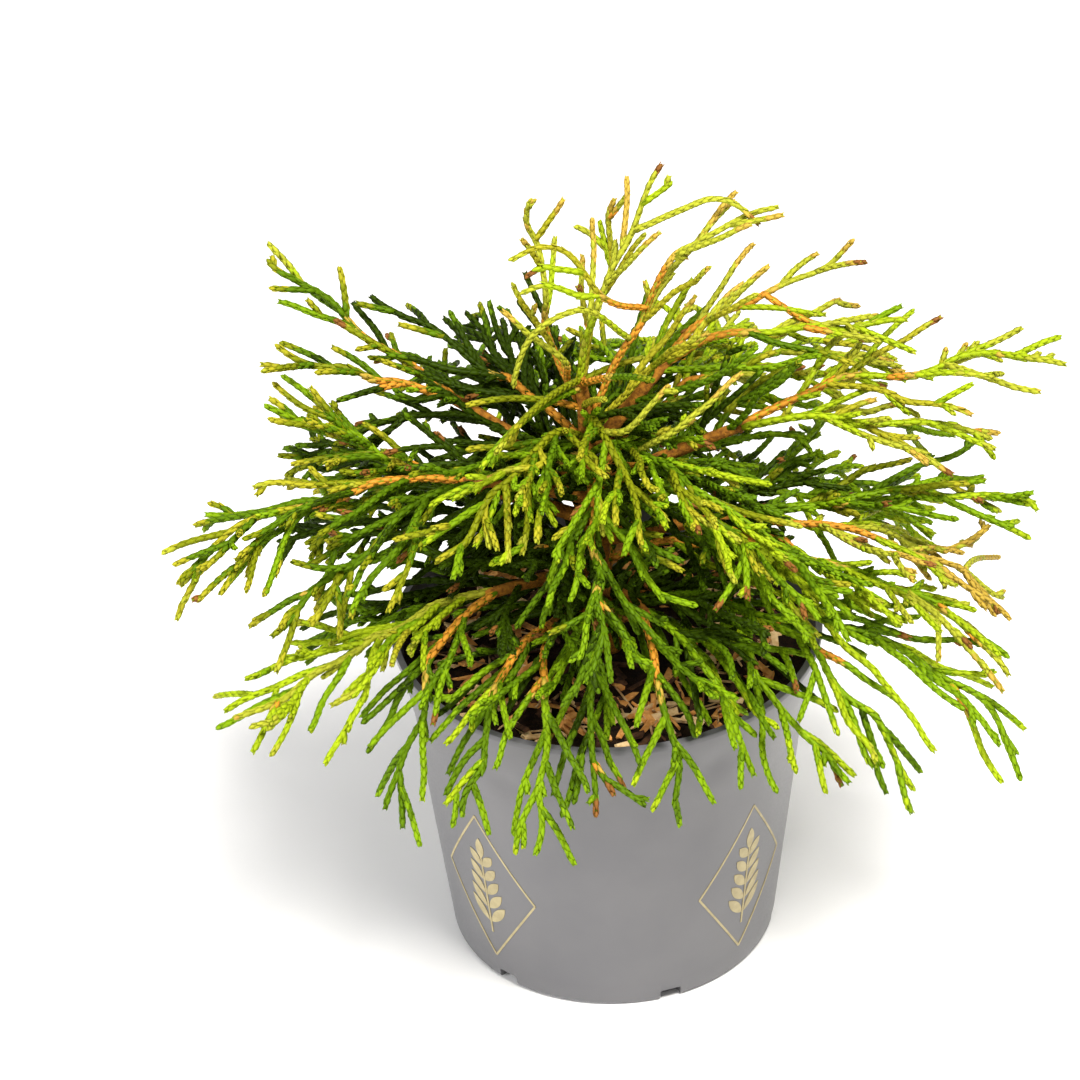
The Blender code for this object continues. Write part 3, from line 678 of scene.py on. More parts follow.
class Crown:
    """What is planned so far, so that new twigs can keep clear of it."""

    def __init__(self):
        self.starts = []
        self.ends = []
        self.widths = []
        self.owners = []

    def add(self, owner, points, radii):
        for i in range(len(points) - 1):
            self.starts.append(tuple(points[i]))
            self.ends.append(tuple(points[i + 1]))
            self.widths.append(max(radii[i], radii[i + 1]))
            self.owners.append(owner)

    def blocked(self, spots, radius, left_out):
        """For each spot, whether it lies too near a limb or a twig of another."""
        keep = np.array([owner not in left_out for owner in self.owners])
        if not keep.any():
            return np.zeros(len(spots), bool)
        start = np.array(self.starts)[keep]
        along = np.array(self.ends)[keep] - start
        width = np.array(self.widths)[keep]
        offset = np.array(spots)[:, None, :] - start[None]
        share = (offset * along).sum(2) / (along * along).sum(1)
        share = np.clip(share, 0, 1)
        apart = np.linalg.norm(offset - share[..., None] * along, axis=2)
        return (apart < width + radius + GAP + SAMPLE_SPARE).any(axis=1)


def outside_pot(spot, radius):
    """Whether a twig this thick may pass here: over the soil or round the pot."""
    out = math.hypot(spot[0], spot[1])
    height = spot[2]
    if height < LOWEST_TWIG:
        return False
    over_rim = height - radius > POT_HEIGHT + POT_CLEAR
    past_rim = out - radius > LIP_RADIUS + POT_CLEAR
    if over_rim or past_rim:
        return True
    inner = wall_radius(height) - WALL
    return out + radius < inner - POT_CLEAR and height - radius > SOIL_TOP + SOIL_CLEAR


def dense(points, spacing=SAMPLE_STEP):
    """The curve's points with more between them."""
    spots = []
    for a, b in zip(points, points[1:]):
        count = max(1, math.ceil((b - a).length / spacing))
        spots += [a.lerp(b, k / count) for k in range(count)]
    return spots + [points[-1]]


def free_share(crown, points, radius, left_out, held, reach, top):
    """The share of the curve that is clear and in its space, past its held length."""
    spots = dense(points)
    stop = crown.blocked(spots, radius, left_out)
    first = held / path_length(points)
    for i, spot in enumerate(spots):
        past = i / (len(spots) - 1)
        outside = math.hypot(spot.x, spot.y) > reach or spot.z > top
        if past >= first and (stop[i] or outside or not outside_pot(spot, radius)):
            return past
    return 1.0


def foot_on_trunk(height, azimuth, rise, radius):
    """Where a limb starts, a hair clear of the trunk, and the way it leaves."""
    way = heading(azimuth, rise)
    out = trunk_radius(height) + GAP + radius * math.sin(math.radians(rise))
    return trunk_centre(height) + heading(azimuth, 0) * out, way


def plan_bough(row):
    """A bough's curve from the trunk, and its radius at each point."""
    foot, azimuth, rise, length, tip_rise = row
    start, way = foot_on_trunk(foot, azimuth, rise, BOUGH_FOOT_RADIUS)
    end_way = heading(azimuth, tip_rise)
    end = start + (way + end_way).normalized() * length
    points = hermite(start, way, end, end_way, SPINE_PULL, BOUGH_STEPS)
    radii = []
    for step in range(BOUGH_STEPS + 1):
        share = step / BOUGH_STEPS
        radii.append(BOUGH_FOOT_RADIUS + share * (BOUGH_TIP_RADIUS - BOUGH_FOOT_RADIUS))
    return points, radii


def stem_foot(row, limbs):
    """The start of a mass's stem and the way it leaves."""
    place, azimuth, rise = row.place, row.azimuth, row.rise
    if row.carrier != "trunk":
        points = limbs[row.carrier]
        end_way = ways_along(points)[-1]
        side = end_way.cross(UP).normalized()
        shift = side * place * (SPINE_ROOT_RADIUS + FORK_CLEAR)
        clear = GAP + SPINE_ROOT_RADIUS * FORK_TURN
        way = (end_way + side * place * FORK_TURN).normalized()
        return points[-1] + end_way * clear + shift, way
    if place >= TRUNK_RINGS[-1][0]:
        top = trunk_centre(place)
        return top + UP * GAP, heading(azimuth, rise)
    return foot_on_trunk(place, azimuth, rise, SPINE_ROOT_RADIUS)


def necked_radii(steps, root, thick, thin):
    """Slim at the root, then necked between the scales, and blunt at the tip."""
    radii = [root]
    for step in range(1, steps + 1):
        full = thick + step / steps * (thin - thick)
        radii.append(full if step % 2 else full * NECK)
    radii[-1] = thin * TIP_SHARE
    return radii


def plan_spine(row, limbs, crown, draw):
    """The stem of a mass, swayed a little until it is clear of the others."""
    start, way = stem_foot(row, limbs)
    tip = polar(row.azimuth, row.reach, row.height)
    steps = max(SPINE_LEAST_STEPS, round((tip - start).length / SPINE_STEP))
    side = heading(row.azimuth + 90, 0)
    end_way = heading(row.azimuth, row.tip_rise)
    best, best_free = None, -1.0
    for attempt in range(TRIES):
        sway = SPINE_SWAY * attempt * (tip - start).length
        drift = side * draw.uniform(-sway, sway) + UP * draw.uniform(-sway, sway)
        points = hermite(start, way, tip, end_way, SPINE_PULL, steps)
        for i in range(1, steps):
            share = i / steps
            points[i] += drift * (4 * share * (1 - share)) * share
        reach = row.reach + REACH_SPARE
        free = free_share(
            crown, points, SPINE_RADIUS, {row.carrier}, STEM_HELD, reach, math.inf
        )
        if free > best_free:
            best, best_free = points, free
        if free == 1.0:
            break
    return best


def plan_whip(spine, share, hand, draw):
    """One side twig: it leaves forward from the stem, arches and droops."""
    root, way = point_on(spine, share)
    length = path_length(spine)
    flat = way.cross(UP)
    if flat.length < NEARLY_UPRIGHT:
        flat = heading(math.degrees(draw.uniform(0, math.tau)), 0).cross(way)
    flat.normalize()
    top = flat.cross(way)
    roll = math.radians(draw.uniform(-WHIP_ROLL, WHIP_ROLL))
    aside = (flat * math.cos(roll) + top * math.sin(roll)) * hand
    angle = math.radians(draw.uniform(*WHIP_ANGLE))
    leave = way * math.cos(angle) + aside * math.sin(angle)
    shrink = 1 - WHIP_SHRINK * share
    reach = min(length * WHIP_SHARE * shrink * draw.uniform(*WHIP_VARY), LONGEST_WHIP)
    droop = WHIP_DROOP * draw.uniform(*DROOP_VARY) * reach
    bend = WHIP_BEND * draw.uniform(*DROOP_VARY) * reach
    steps = min(max(round(reach / WHIP_STEP), WHIP_STEPS[0]), WHIP_STEPS[1])
    points = []
    for step in range(steps + 1):
        t = step / steps
        points.append(root + leave * reach * t + way * bend * t * t - UP * droop * t * t)
    return points


def shortened(points, share):
    """The same curve cut to this share of its length, with as many points."""
    last = len(points) - 1
    return [point_on(points, share * i / last)[0] for i in range(last + 1)]


def grow_whips(name, row, spine, crown, draw):
    """The side twigs of one mass that stay clear and in their own space."""
    spacing = OPEN_SPACING if row.height > OPEN_ABOVE_TIP else WHIP_SPACING
    count = min(MOST_WHIPS, max(FEWEST_WHIPS, int(path_length(spine) / spacing)))
    reach = row.reach + REACH_SPARE
    top = max(spot.z for spot in spine) + HEIGHT_SPARE
    grown = []
    for i in range(count):
        place = (i + draw.uniform(0, WHIP_JITTER)) / count
        share = WHIPS_FROM + (WHIPS_TO - WHIPS_FROM) * place
        for attempt in range(WHIP_TRIES):
            hand = 1 if (i + attempt) % 2 else -1
            points = plan_whip(spine, share, hand, draw)
            free = free_share(crown, points, WHIP_RADIUS, {name}, WHIP_HELD, reach, top)
            whole = path_length(points)
            if free < 1.0:
                points = shortened(points, max(free - CUT_BACK / whole, 0.0))
            if path_length(points) >= max(SHORTEST_WHIP, LEAST_SHARE * whole):
                grown.append(points)
                radii = necked_radii(
                    len(points) - 1, WHIP_ROOT_RADIUS, WHIP_RADIUS, WHIP_TIP_RADIUS
                )
                crown.add(name, points, radii)
                break
    return grown


def plan_crown():
    """Every limb, stem and twig, each clear of what was planned before it."""
    crown = Crown()
    trunk = [trunk_centre(ring[0]) for ring in TRUNK_RINGS]
    crown.add("trunk", trunk, [ring[3] for ring in TRUNK_RINGS])
    limbs = {}
    for name, row in BOUGHS.items():
        points, radii = plan_bough(row)
        limbs[name] = points
        crown.add(name, points, radii)
    draws = {}
    spines = {}
    for i, (name, row) in enumerate(MASSES.items()):
        draws[name] = random.Random(SEED * SEEDS_APART + i)
        spines[name] = plan_spine(row, limbs, crown, draws[name])
        radii = necked_radii(
            len(spines[name]) - 1, SPINE_ROOT_RADIUS, SPINE_RADIUS, SPINE_TIP_RADIUS
        )
        crown.add(name, spines[name], radii)
    whips = {}
    for name, row in MASSES.items():
        whips[name] = grow_whips(name, row, spines[name], crown, draws[name])
    return limbs, spines, whips


def respaced(curve, spacing):
    """The same curve with evenly spaced points."""
    steps = np.linalg.norm(np.diff(curve, axis=0), axis=1)
    run = np.concatenate([[0.0], np.cumsum(steps)])
    count = max(3, int(round(run[-1] / spacing)) + 1)
    even = np.linspace(0.0, run[-1], count)
    return np.column_stack([np.interp(even, run, curve[:, k]) for k in range(3)])


def rounded(points, spacing=PATH_STEP):
    """A smooth curve through the planned points, as rows of x, y and z."""
    knots = np.array([tuple(spot) for spot in points])
    ends = np.vstack([2 * knots[0] - knots[1], knots, 2 * knots[-1] - knots[-2]])
    t = np.linspace(0, 1, ROUNDING, endpoint=False)[:, None]
    pieces = []
    for a, b, c, d in zip(ends, ends[1:], ends[2:], ends[3:]):
        bend = (2 * a - 5 * b + 4 * c - d) * t**2 + (3 * b - a - 3 * c + d) * t**3
        pieces.append(0.5 * (2 * b + (c - a) * t + bend))
    pieces.append(knots[-1:])
    return respaced(np.vstack(pieces), spacing)


class Cord:
    """One leafy cord: its curve, its thickness, and how it is coloured."""

    def __init__(self, path, radii, tone, bronze_to=0.0, brown=False):
        self.path = path
        self.radii = radii
        self.tone = tone
        self.bronze_to = bronze_to
        self.brown = brown
        self.warm = False
        self.length = float(np.linalg.norm(np.diff(path, axis=0), axis=1).sum())

    def at(self, share):
        """The point and the direction at this share of the cord."""
        place = share * (len(self.path) - 1)
        i = min(int(place), len(self.path) - 2)
        spot = self.path[i] + (self.path[i + 1] - self.path[i]) * (place - i)
        way = self.path[i + 1] - self.path[i]
        return spot, way / np.linalg.norm(way)


class Thicket:
    """Where cords already run, in a grid of small cells."""

    def __init__(self):
        self.cells = {}

    def put(self, cord):
        thick, thin = cord.radii
        last = len(cord.path) - 1
        for i, (x, y, z) in enumerate(cord.path.tolist()):
            radius = thick + (thin - thick) * i / last
            key = (int(x // CELL), int(y // CELL), int(z // CELL))
            self.cells.setdefault(key, []).append((x, y, z, radius, cord))

    def taken(self, spot, radius, parent):
        """Whether a cord other than the parent is too near this spot."""
        x, y, z = spot
        i, j, k = int(x // CELL), int(y // CELL), int(z // CELL)
        for a in (i - 1, i, i + 1):
            for b in (j - 1, j, j + 1):
                for c in (k - 1, k, k + 1):
                    for px, py, pz, wide, owner in self.cells.get((a, b, c), ()):
                        if owner is parent:
                            continue
                        near = TOUCH * (radius + wide)
                        if (px - x) ** 2 + (py - y) ** 2 + (pz - z) ** 2 < near * near:
                            return True
        return False


def swayed(path, seed, firm):
    """The curve with a gentle wander that grows along it from its firm foot."""
    reach = min(PATH_STEP * (len(path) - 1), SWAY_LONGEST)
    moved = path.copy()
    for i in range(len(path)):
        run = PATH_STEP * i
        hold = clamped((run - firm) / SWAY_GROWS)
        place = run / SWAY_WAVE + seed * SWAY_APART[0]
        for k in range(3):
            drift = noise.noise(Vector((place, k * SWAY_APART[1] + seed, 0.5)))
            moved[i, k] += drift * SWAY * reach * hold
    return moved


def side_curve(parent, share, hand, roll, angle, length, droop, bend):
    """A fine shoot that leaves its parent forward and to one side."""
    root, way = parent.at(share)
    flat = np.cross(way, (0.0, 0.0, 1.0))
    size = np.linalg.norm(flat)
    if size < NEARLY_UPRIGHT:
        turn = roll * UPRIGHT_TURNS
        flat = np.cross(way, (math.cos(turn), math.sin(turn), 0.0))
        size = np.linalg.norm(flat)
    flat = flat / size
    top = np.cross(flat, way)
    aside = (flat * math.cos(roll) + top * math.sin(roll)) * hand
    leave = way * math.cos(angle) + aside * math.sin(angle)
    t = np.linspace(0, 1, max(4, int(length / PATH_STEP) + 1))[:, None]
    curve = root + leave * length * t + way * bend * length * t * t
    curve[:, 2] -= (droop * length * t * t)[:, 0]
    return curve


def curled(curve, much):
    """The curve bent steadily to one side, level with the ground."""
    chord = curve[-1] - curve[0]
    across = np.array((-chord[1], chord[0], 0.0)) * much
    t = np.linspace(0, 1, len(curve))[:, None]
    return curve + across * t * t


def clear_part(thicket, curve, radius, parent, reach, top):
    """The curve up to where it would leave its space or cross another cord."""
    step = float(np.linalg.norm(curve[1] - curve[0]))
    for i, spot in enumerate(curve.tolist()):
        if i * step < FINE_HELD:
            continue
        outside = math.hypot(spot[0], spot[1]) > reach or spot[2] > top
        if outside or not outside_pot(spot, radius) or thicket.taken(spot, radius, parent):
            keep = i - math.ceil(FINE_CUT / step)
            return curve[: max(keep, 0)]
    return curve


def outwardness(spot):
    """How far out in the crown a place is: 0 at its middle, 1 at its skin."""
    out = 0.0
    for k in range(3):
        out += ((spot[k] - CROWN_CENTRE[k]) / CROWN_HALF[k]) ** 2
    return math.sqrt(out)


def fullness(spot, least):
    """The share of fine shoots that grow at this place."""
    within = FULL_WITHIN + (FULL_BEHIND if spot[1] > BEHIND_FROM else 0.0)
    full = min(1.0, max(least, within - THINNING * outwardness(spot)))
    if spot[2] > OPEN_ABOVE:
        full *= OPEN_SHARE
    if spot[2] < LOW_BELOW and spot[1] < 0.0:
        full *= LOW_SHARE
    if spot[0] > RIGHT_FROM and not RIGHT_BAND[0] < spot[2] < RIGHT_BAND[1]:
        full *= RIGHT_SHARE
    return full


def cord_tone(tint, spot, share, draw):
    """How light a cord's colour is: by its mass, its place in the crown, and chance. It is
    darker deep inside the crown as painted shade, lighter towards the right as painted light,
    and darker low down.
    """
    depth = max(0.0, 1.0 - outwardness(spot))
    low = max(0.0, (LOW_TONE_FROM - spot[2]) / LOW_TONE_OVER)
    right = clamped((spot[0] - RIGHT_TONE_FROM) / RIGHT_TONE_OVER)
    tone = TINTS[tint].tone + (share - 0.5) * TONE_ALONG + right * RIGHT_PAINTED_LIGHT
    tone += draw.gauss(0.0, TONE_BY_CORD) - depth * INSIDE_PAINTED_SHADE - low * TONE_LOW
    return tone


def fine_shoot(
    thicket, parent, share, hand, lengths, radii, tint, limits, draw,
    widest_roll=TWIG_ROLL, angles=TWIG_ANGLE,
):
    """One fine shoot, if there is room for it."""
    length = draw.uniform(*lengths)
    roll = math.radians(draw.uniform(-widest_roll, widest_roll))
    angle = math.radians(draw.uniform(*angles))
    droop = draw.uniform(*TWIG_DROOP)
    bend = draw.uniform(*TWIG_BEND)
    curve = side_curve(parent, share, hand, roll, angle, length, droop, bend)
    curve = curled(curve, draw.uniform(-TWIG_CURL, TWIG_CURL))
    curve = swayed(curve, draw.random() * SWAY_STARTS, SHOOT_FIRM)
    curve = clear_part(thicket, curve, radii[0], parent, *limits)
    if len(curve) < FEWEST_POINTS:
        return None
    if float(np.linalg.norm(curve[-1] - curve[0])) < LEAST_FINE:
        return None
    middle = curve[len(curve) // 2]
    tone = cord_tone(tint, middle, 0.5 + 0.5 * share, draw)
    if parent.tone is not None:
        tone = 0.5 * (parent.tone + tone)
    brown = draw.random() < BROWN_TIPS
    cord = Cord(respaced(curve, PATH_STEP), radii, tone, 0.0, brown)
    thicket.put(cord)
    return cord


def along_cord(thicket, parent, kind, tint, limits, draw):
    """Fine shoots from alternate sides all along a cord."""
    grown = []
    over = 1 - kind.start
    count = int(parent.length * over / kind.spacing)
    for i in range(count):
        share = kind.start + over * (i + draw.uniform(*kind.stray)) / count
        taper = TWIG_TAPER[0] - TWIG_TAPER[1] * share
        lengths = (kind.lengths[0] * taper, kind.lengths[1] * taper)
        if draw.random() > fullness(parent.at(share)[0], kind.least):
            continue
        for attempt in range(TWIG_TRIES):
            hand = 1 if (i + attempt) % 2 else -1
            shoot = fine_shoot(
                thicket, parent, share, hand, lengths, kind.radii, tint, limits, draw
            )
            if shoot:
                grown.append(shoot)
                break
    return grown


def along_all(thicket, bearers, kind, tint, limits, draw):
    """Fine shoots along every one of some cords."""
    grown = []
    for cord in bearers:
        grown += along_cord(thicket, cord, kind, tint, limits, draw)
    return grown


def extra_shoots(thicket, stem, row, limits, draw):
    """More side shoots from the stem, between those that the solids show."""
    count = int(EXTRA_SHOOTS * stem.length / WHIP_SPACING)
    grown = []
    for i in range(count):
        share = EXTRA_FROM + EXTRA_OVER * (i + draw.uniform(*JITTER)) / count
        longest = min(stem.length * WHIP_SHARE * (1 - WHIP_SHRINK * share), LONGEST_WHIP)
        hand = 1 if i % 2 else -1
        lengths = (EXTRA_LEAST * longest, longest)
        if draw.random() > fullness(stem.at(share)[0], LEAST_FULL):
            continue
        shoot = fine_shoot(
            thicket, stem, share, hand, lengths, SHOOT_RADII, row.tint, limits, draw
        )
        if shoot:
            grown.append(shoot)
    return grown


def inner_tint(azimuth, height):
    """The tint inside the crown, as painted light and shade: light at the top, deep where
    shade falls on the left and low down, green elsewhere.
    """
    if height > INNER_LIT:
        return "lime"
    if SHADED_SIDE[0] < azimuth < SHADED_SIDE[1] or height < INNER_SHADED:
        return "deep"
    return "green"


def shoots_on_boughs(thicket, limbs, draw):
    """Shoots from the boughs that fill the crown's inside."""
    room = (INNER_REACH, BOUGH_SHOOT_TOP)
    grown = []
    for name, points in limbs.items():
        foot, azimuth = BOUGHS[name][:2]
        tint = inner_tint(azimuth, foot)
        limb = Cord(rounded(points), (BOUGH_FOOT_RADIUS, BOUGH_TIP_RADIUS), None)
        thicket.put(limb)
        for i in range(BOUGH_SHOOTS):
            place = (i + draw.uniform(*JITTER)) / BOUGH_SHOOTS
            share = BOUGH_SHOOTS_FROM + BOUGH_SHOOTS_OVER * place
            hand = 1 if i % 2 else -1
            shoot = fine_shoot(
                thicket, limb, share, hand, BOUGH_SHOOT_LENGTH, SHOOT_RADII, tint, room,
                draw, INNER_ROLL, INNER_ANGLE,
            )
            if shoot:
                grown.append((shoot, tint))
    return grown


def shoots_on_trunk(thicket, count, heights, crowd, draw):
    """Shoots that spiral up a part of the trunk, crowded towards its top."""
    low, high = heights
    grown = []
    for i in range(count):
        place = ((i + draw.random()) / count) ** crowd
        height = low + (high - low) * place
        stray = draw.uniform(-TRUNK_SHOOT_STRAY, TRUNK_SHOOT_STRAY)
        azimuth = (i * TRUNK_SHOOT_TURN + stray) % 360.0
        start, way = foot_on_trunk(height, azimuth, draw.uniform(*TRUNK_SHOOT_RISE), 0.0)
        start = start - heading(azimuth, 0) * ROOTED
        length = draw.uniform(*TRUNK_SHOOT_LENGTH)
        t = np.linspace(0, 1, int(length / PATH_STEP))[:, None]
        curve = np.array(start) + np.array(way) * length * t
        curve[:, 2] -= (draw.uniform(*TRUNK_SHOOT_DROOP) * length * t * t)[:, 0]
        curve = clear_part(
            thicket, curve, SHOOT_RADII[0], None, INNER_REACH, TRUNK_SHOOT_TOP
        )
        if len(curve) * PATH_STEP < TRUNK_SHOOT_LEAST:
            continue
        tint = inner_tint(azimuth, height)
        tone = cord_tone(tint, curve[len(curve) // 2], 0.5, draw)
        bronze = BRONZE_INNER_TO * draw.random() if draw.random() < BRONZE_INNER else 0.0
        shoot = Cord(respaced(curve, PATH_STEP), SHOOT_RADII, tone, bronze)
        thicket.put(shoot)
        grown.append((shoot, tint))
    return grown


def main_cords(row, spine, whips, draw):
    """The mass's own stem and side twigs, rounded and rooted in what bears them."""
    way = (spine[1] - spine[0]).normalized()
    plain = rounded([spine[0] - way * ROOTED] + list(spine))
    path = swayed(plain, draw.random() * SWAY_STARTS, STEM_FIRM)
    tint = row.tint
    tone = cord_tone(tint, path[len(path) // 2], MAIN_SHARE, draw)
    bronze = 0.0
    if draw.random() < TINTS[tint].bronze_odds:
        bronze = BRONZE_TO * draw.uniform(*BRONZE_VARY)
    slim = TOP_SLIM if tint == "gold" else 1.0
    stem_radii = tuple(radius * slim for radius in STEM_RADII)
    side_radii = tuple(radius * slim for radius in SHOOT_RADII)
    stem = Cord(path, stem_radii, tone, bronze, draw.random() < BROWN_TIPS)
    sides = []
    for points in whips:
        side = rounded(points)
        near = np.linalg.norm(plain - side[0], axis=1).argmin()
        moved = stem.path[near] - plain[near]
        path = swayed(side + moved, draw.random() * SWAY_STARTS, SHOOT_FIRM)
        tone = cord_tone(tint, path[len(path) // 2], MAIN_SHARE, draw)
        bronze = BRONZE_SHOOT_TO * draw.random() if draw.random() < BRONZE_SHOOTS else 0.0
        sides.append(Cord(path, side_radii, tone, bronze, draw.random() < BROWN_TIPS))
    return stem, sides


def grow_strands(thicket, stems, table, draw):
    """Strands that run through given places, from stems or from each other."""
    grown = {}
    for name, (bearer, share, bronze, places) in table.items():
        carrier = grown[bearer] if bearer in grown else stems[bearer]
        root = Vector(carrier.at(share)[0])
        curve = rounded([root] + [Vector(place) for place in places])
        path = swayed(curve, draw.random() * SWAY_STARTS, STRAND_FIRM)
        tone = TINTS["gold"].tone + draw.gauss(0.0, TONE_BY_CORD)
        brown = draw.random() < STRAND_BROWN_TIPS
        strand = Cord(path, STRAND_RADII, tone, bronze, brown)
        thicket.put(strand)
        grown[name] = strand
    return list(grown.values())


def twigs_and_stubs(thicket, bearers, tint, limits, draw):
    """The twigs on some cords, the short stubs on the twigs, then short spurs."""
    twigs = along_all(thicket, bearers, TWIGS, tint, limits, draw)
    stubs = along_all(thicket, twigs, STUBS, tint, limits, draw)
    return twigs + stubs + along_all(thicket, bearers, SPURS, tint, limits, draw)


def put_limbs(thicket):
    """The trunk takes its room first."""
    rings = TRUNK_RINGS[2:]
    path = rounded([trunk_centre(ring[0]) for ring in rings])
    thicket.put(Cord(path, (rings[0][3], rings[-1][3]), None))


def grow_cords(limbs, spines, whips):
    """Every cord of the crown: stems, side shoots, twigs and stubs, in turn."""
    thicket = Thicket()
    put_limbs(thicket)
    stems = {}
    shoots = {}
    draws = {}
    limits = {}
    for i, (name, row) in enumerate(MASSES.items()):
        draw = random.Random(FINE_SEED * SEEDS_APART + i)
        stems[name], shoots[name] = main_cords(row, spines[name], whips[name], draw)
        top = max(spot.z for spot in spines[name]) + FINE_SPARE
        limits[name] = (row.reach + REACH_SPARE, top)
        draws[name] = draw
        for cord in [stems[name]] + shoots[name]:
            thicket.put(cord)
    inside_draw = random.Random(INSIDE_SEED)
    cords = grow_strands(thicket, stems, STRANDS, inside_draw)
    inside = shoots_on_boughs(thicket, limbs, inside_draw)
    for count, heights, crowd in TRUNK_SHOOTS:
        inside += shoots_on_trunk(thicket, count, heights, crowd, inside_draw)
    for name, row in MASSES.items():
        shoots[name] += extra_shoots(thicket, stems[name], row, limits[name], draws[name])
    for name, row in MASSES.items():
        bearers = [stems[name]] + shoots[name]
        fine = twigs_and_stubs(thicket, bearers, row.tint, limits[name], draws[name])
        cords += bearers + fine
    room = (INNER_REACH + INNER_SPARE, TRUNK_SHOOT_TOP)
    for shoot, tint in inside:
        cords += [shoot] + twigs_and_stubs(thicket, [shoot], tint, room, inside_draw)
    rise_draw = random.Random(RISER_SEED)
    risers = grow_strands(thicket, stems, RISERS, rise_draw)
    cords += risers + twigs_and_stubs(thicket, risers, "lime", room, rise_draw)
    return cords


def shade_of(tone, warm):
    """The nearest shade on the plain or the warm ramp."""
    ramp = WARM_RAMP if warm else RAMP
    return ramp[int(min(max(round(tone), 0), len(ramp) - 1))]


def warmed(cords):
    """Some of the cords turn olive, more of them the higher they grow."""
    draw = random.Random(WARM_SEED)
    for cord in cords:
        x, _, z = cord.path[len(cord.path) // 2]
        high = (z - WARM_ABOVE) / (WARM_FULLY - WARM_ABOVE)
        odds = WARM_MOST * clamped(high)
        if x < WARM_LEFT and z > WARM_ABOVE:
            odds = WARM_LEFT_MOST
        cord.warm = draw.random() < odds


def node_rows(cord):
    """Evenly spaced nodes on a cord: places, directions and radii."""
    thick, thin = (radius * CORD_SLIM for radius in cord.radii)
    pitch = PAIR_PITCH * 0.5 * (thick + thin)
    count = max(3, int(round(cord.length / pitch)))
    share = (np.arange(count) + FIRST_LEAF) / count
    place = share * (len(cord.path) - 1)
    i = np.minimum(place.astype(int), len(cord.path) - 2)
    step = cord.path[i + 1] - cord.path[i]
    spots = cord.path[i] + step * (place - i)[:, None]
    ways = step / np.linalg.norm(step, axis=1)[:, None]
    radii = thick + (thin - thick) * share
    radii[-1] *= END_TAPER[0]
    radii[-2] *= END_TAPER[1]
    return share, spots, ways, radii, cord.length / count


def leaf_rows(cord, draw):
    """Each leaf on a cord: its shade, then its place, its way, outwards and size."""
    share, spots, ways, radii, pitch = node_rows(cord)
    first = np.array([draw.gauss(0, 1) for _ in range(3)])
    side = first - ways * (ways @ first)[:, None]
    side /= np.linalg.norm(side, axis=1)[:, None]
    top = np.cross(ways, side)
    short = np.ones(len(spots))
    short[-1], short[-2] = END_SHORT
    rows = []
    for n in range(len(spots)):
        lateral = n % 2 == 0
        out = side[n] if lateral else top[n]
        wide = SIDE_LEAF_WIDTH if lateral else LEAF_WIDTH
        for hand in (1.0, -1.0):
            outward = out * hand
            vary = 1 + draw.uniform(-LEAF_VARY, LEAF_VARY)
            size = (
                radii[n] * wide * vary, radii[n] * LEAF_HEIGHT, radii[n] * LEAF_BASE,
                LEAF_LENGTH * pitch * vary * short[n],
            )
            shade = leaf_shade(cord, share[n], draw)
            rows.append((shade, (spots[n], ways[n], outward, size)))
    return rows


def leaf_shade(cord, share, draw):
    """The name of the colour of a leaf at this share of the cord."""
    if cord.brown and (1 - share) * cord.length < BROWN_LENGTH:
        return "brown"
    if share < cord.bronze_to:
        return "bronze"
    if share < cord.bronze_to + BRONZE_FADE and cord.bronze_to:
        return "gold"
    tone = cord.tone + (share - 0.5) * TONE_TO_TIP + draw.uniform(-TONE_BY_LEAF, TONE_BY_LEAF)
    if cord.warm and (1 - share) * cord.length < WARM_TIP:
        tone += WARM_TIP_TONE
    return shade_of(tone, cord.warm)


def leaf_arrays(rows):
    """The points and triangles of many leaves, as one pair of arrays."""
    template = np.array(LEAF_POINTS)
    spots, ways, outs, sizes = (np.array(column) for column in zip(*rows))
    across = np.cross(outs, ways)
    wide, high, base, long = (sizes[:, k, None, None] for k in range(4))
    points = spots[:, None, :] + outs[:, None, :] * base
    points = points + across[:, None, :] * (template[None, :, 0:1] * wide)
    points = points + outs[:, None, :] * (template[None, :, 1:2] * high)
    points = points + ways[:, None, :] * (template[None, :, 2:3] * long)
    firsts = np.arange(len(rows)) * len(template)
    faces = np.array(LEAF_FACES)[None] + firsts[:, None, None]
    return points.reshape(-1, 3), faces.reshape(-1, 3)


def side_faces(first, sides, rings):
    """The triangles between rings of points that start at this number."""
    faces = []
    for low in range(first, first + sides * (rings - 1), sides):
        for k in range(sides):
            a, b = low + k, low + (k + 1) % sides
            faces += [(a, b, b + sides), (a, b + sides, a + sides)]
    return faces


def tube_faces(first, sides, rings):
    """The triangles of a tube, closed at both ends."""
    faces = side_faces(first, sides, rings)
    end = first + sides * (rings - 1)
    for k in range(1, sides - 1):
        faces.append((first, first + k + 1, first + k))
        faces.append((end, end + k, end + k + 1))
    return faces


def core_arrays(cords):
    """The slim stalks under the leaves, closed at both ends."""
    points = []
    faces = []
    first = 0
    turns = np.arange(CORE_SIDES) * math.tau / CORE_SIDES
    guide = np.array(CORE_GUIDE)
    for cord in cords:
        path = respaced(cord.path, CORE_STEP)
        ways = np.gradient(path, axis=0)
        ways /= np.linalg.norm(ways, axis=1)[:, None]
        side = guide - ways * (ways @ guide)[:, None]
        side /= np.linalg.norm(side, axis=1)[:, None]
        top = np.cross(ways, side)
        radii = np.linspace(*cord.radii, len(path)) * CORD_SLIM * CORE_SHARE
        radii[-1] *= CORE_END
        ring = side[:, None] * np.cos(turns)[None, :, None]
        ring = ring + top[:, None] * np.sin(turns)[None, :, None]
        around = path[:, None, :] + ring * radii[:, None, None]
        points.append(around.reshape(-1, 3))
        faces += tube_faces(first, CORE_SIDES, len(path))
        first += CORE_SIDES * len(path)
    return np.vstack(points), np.array(faces)


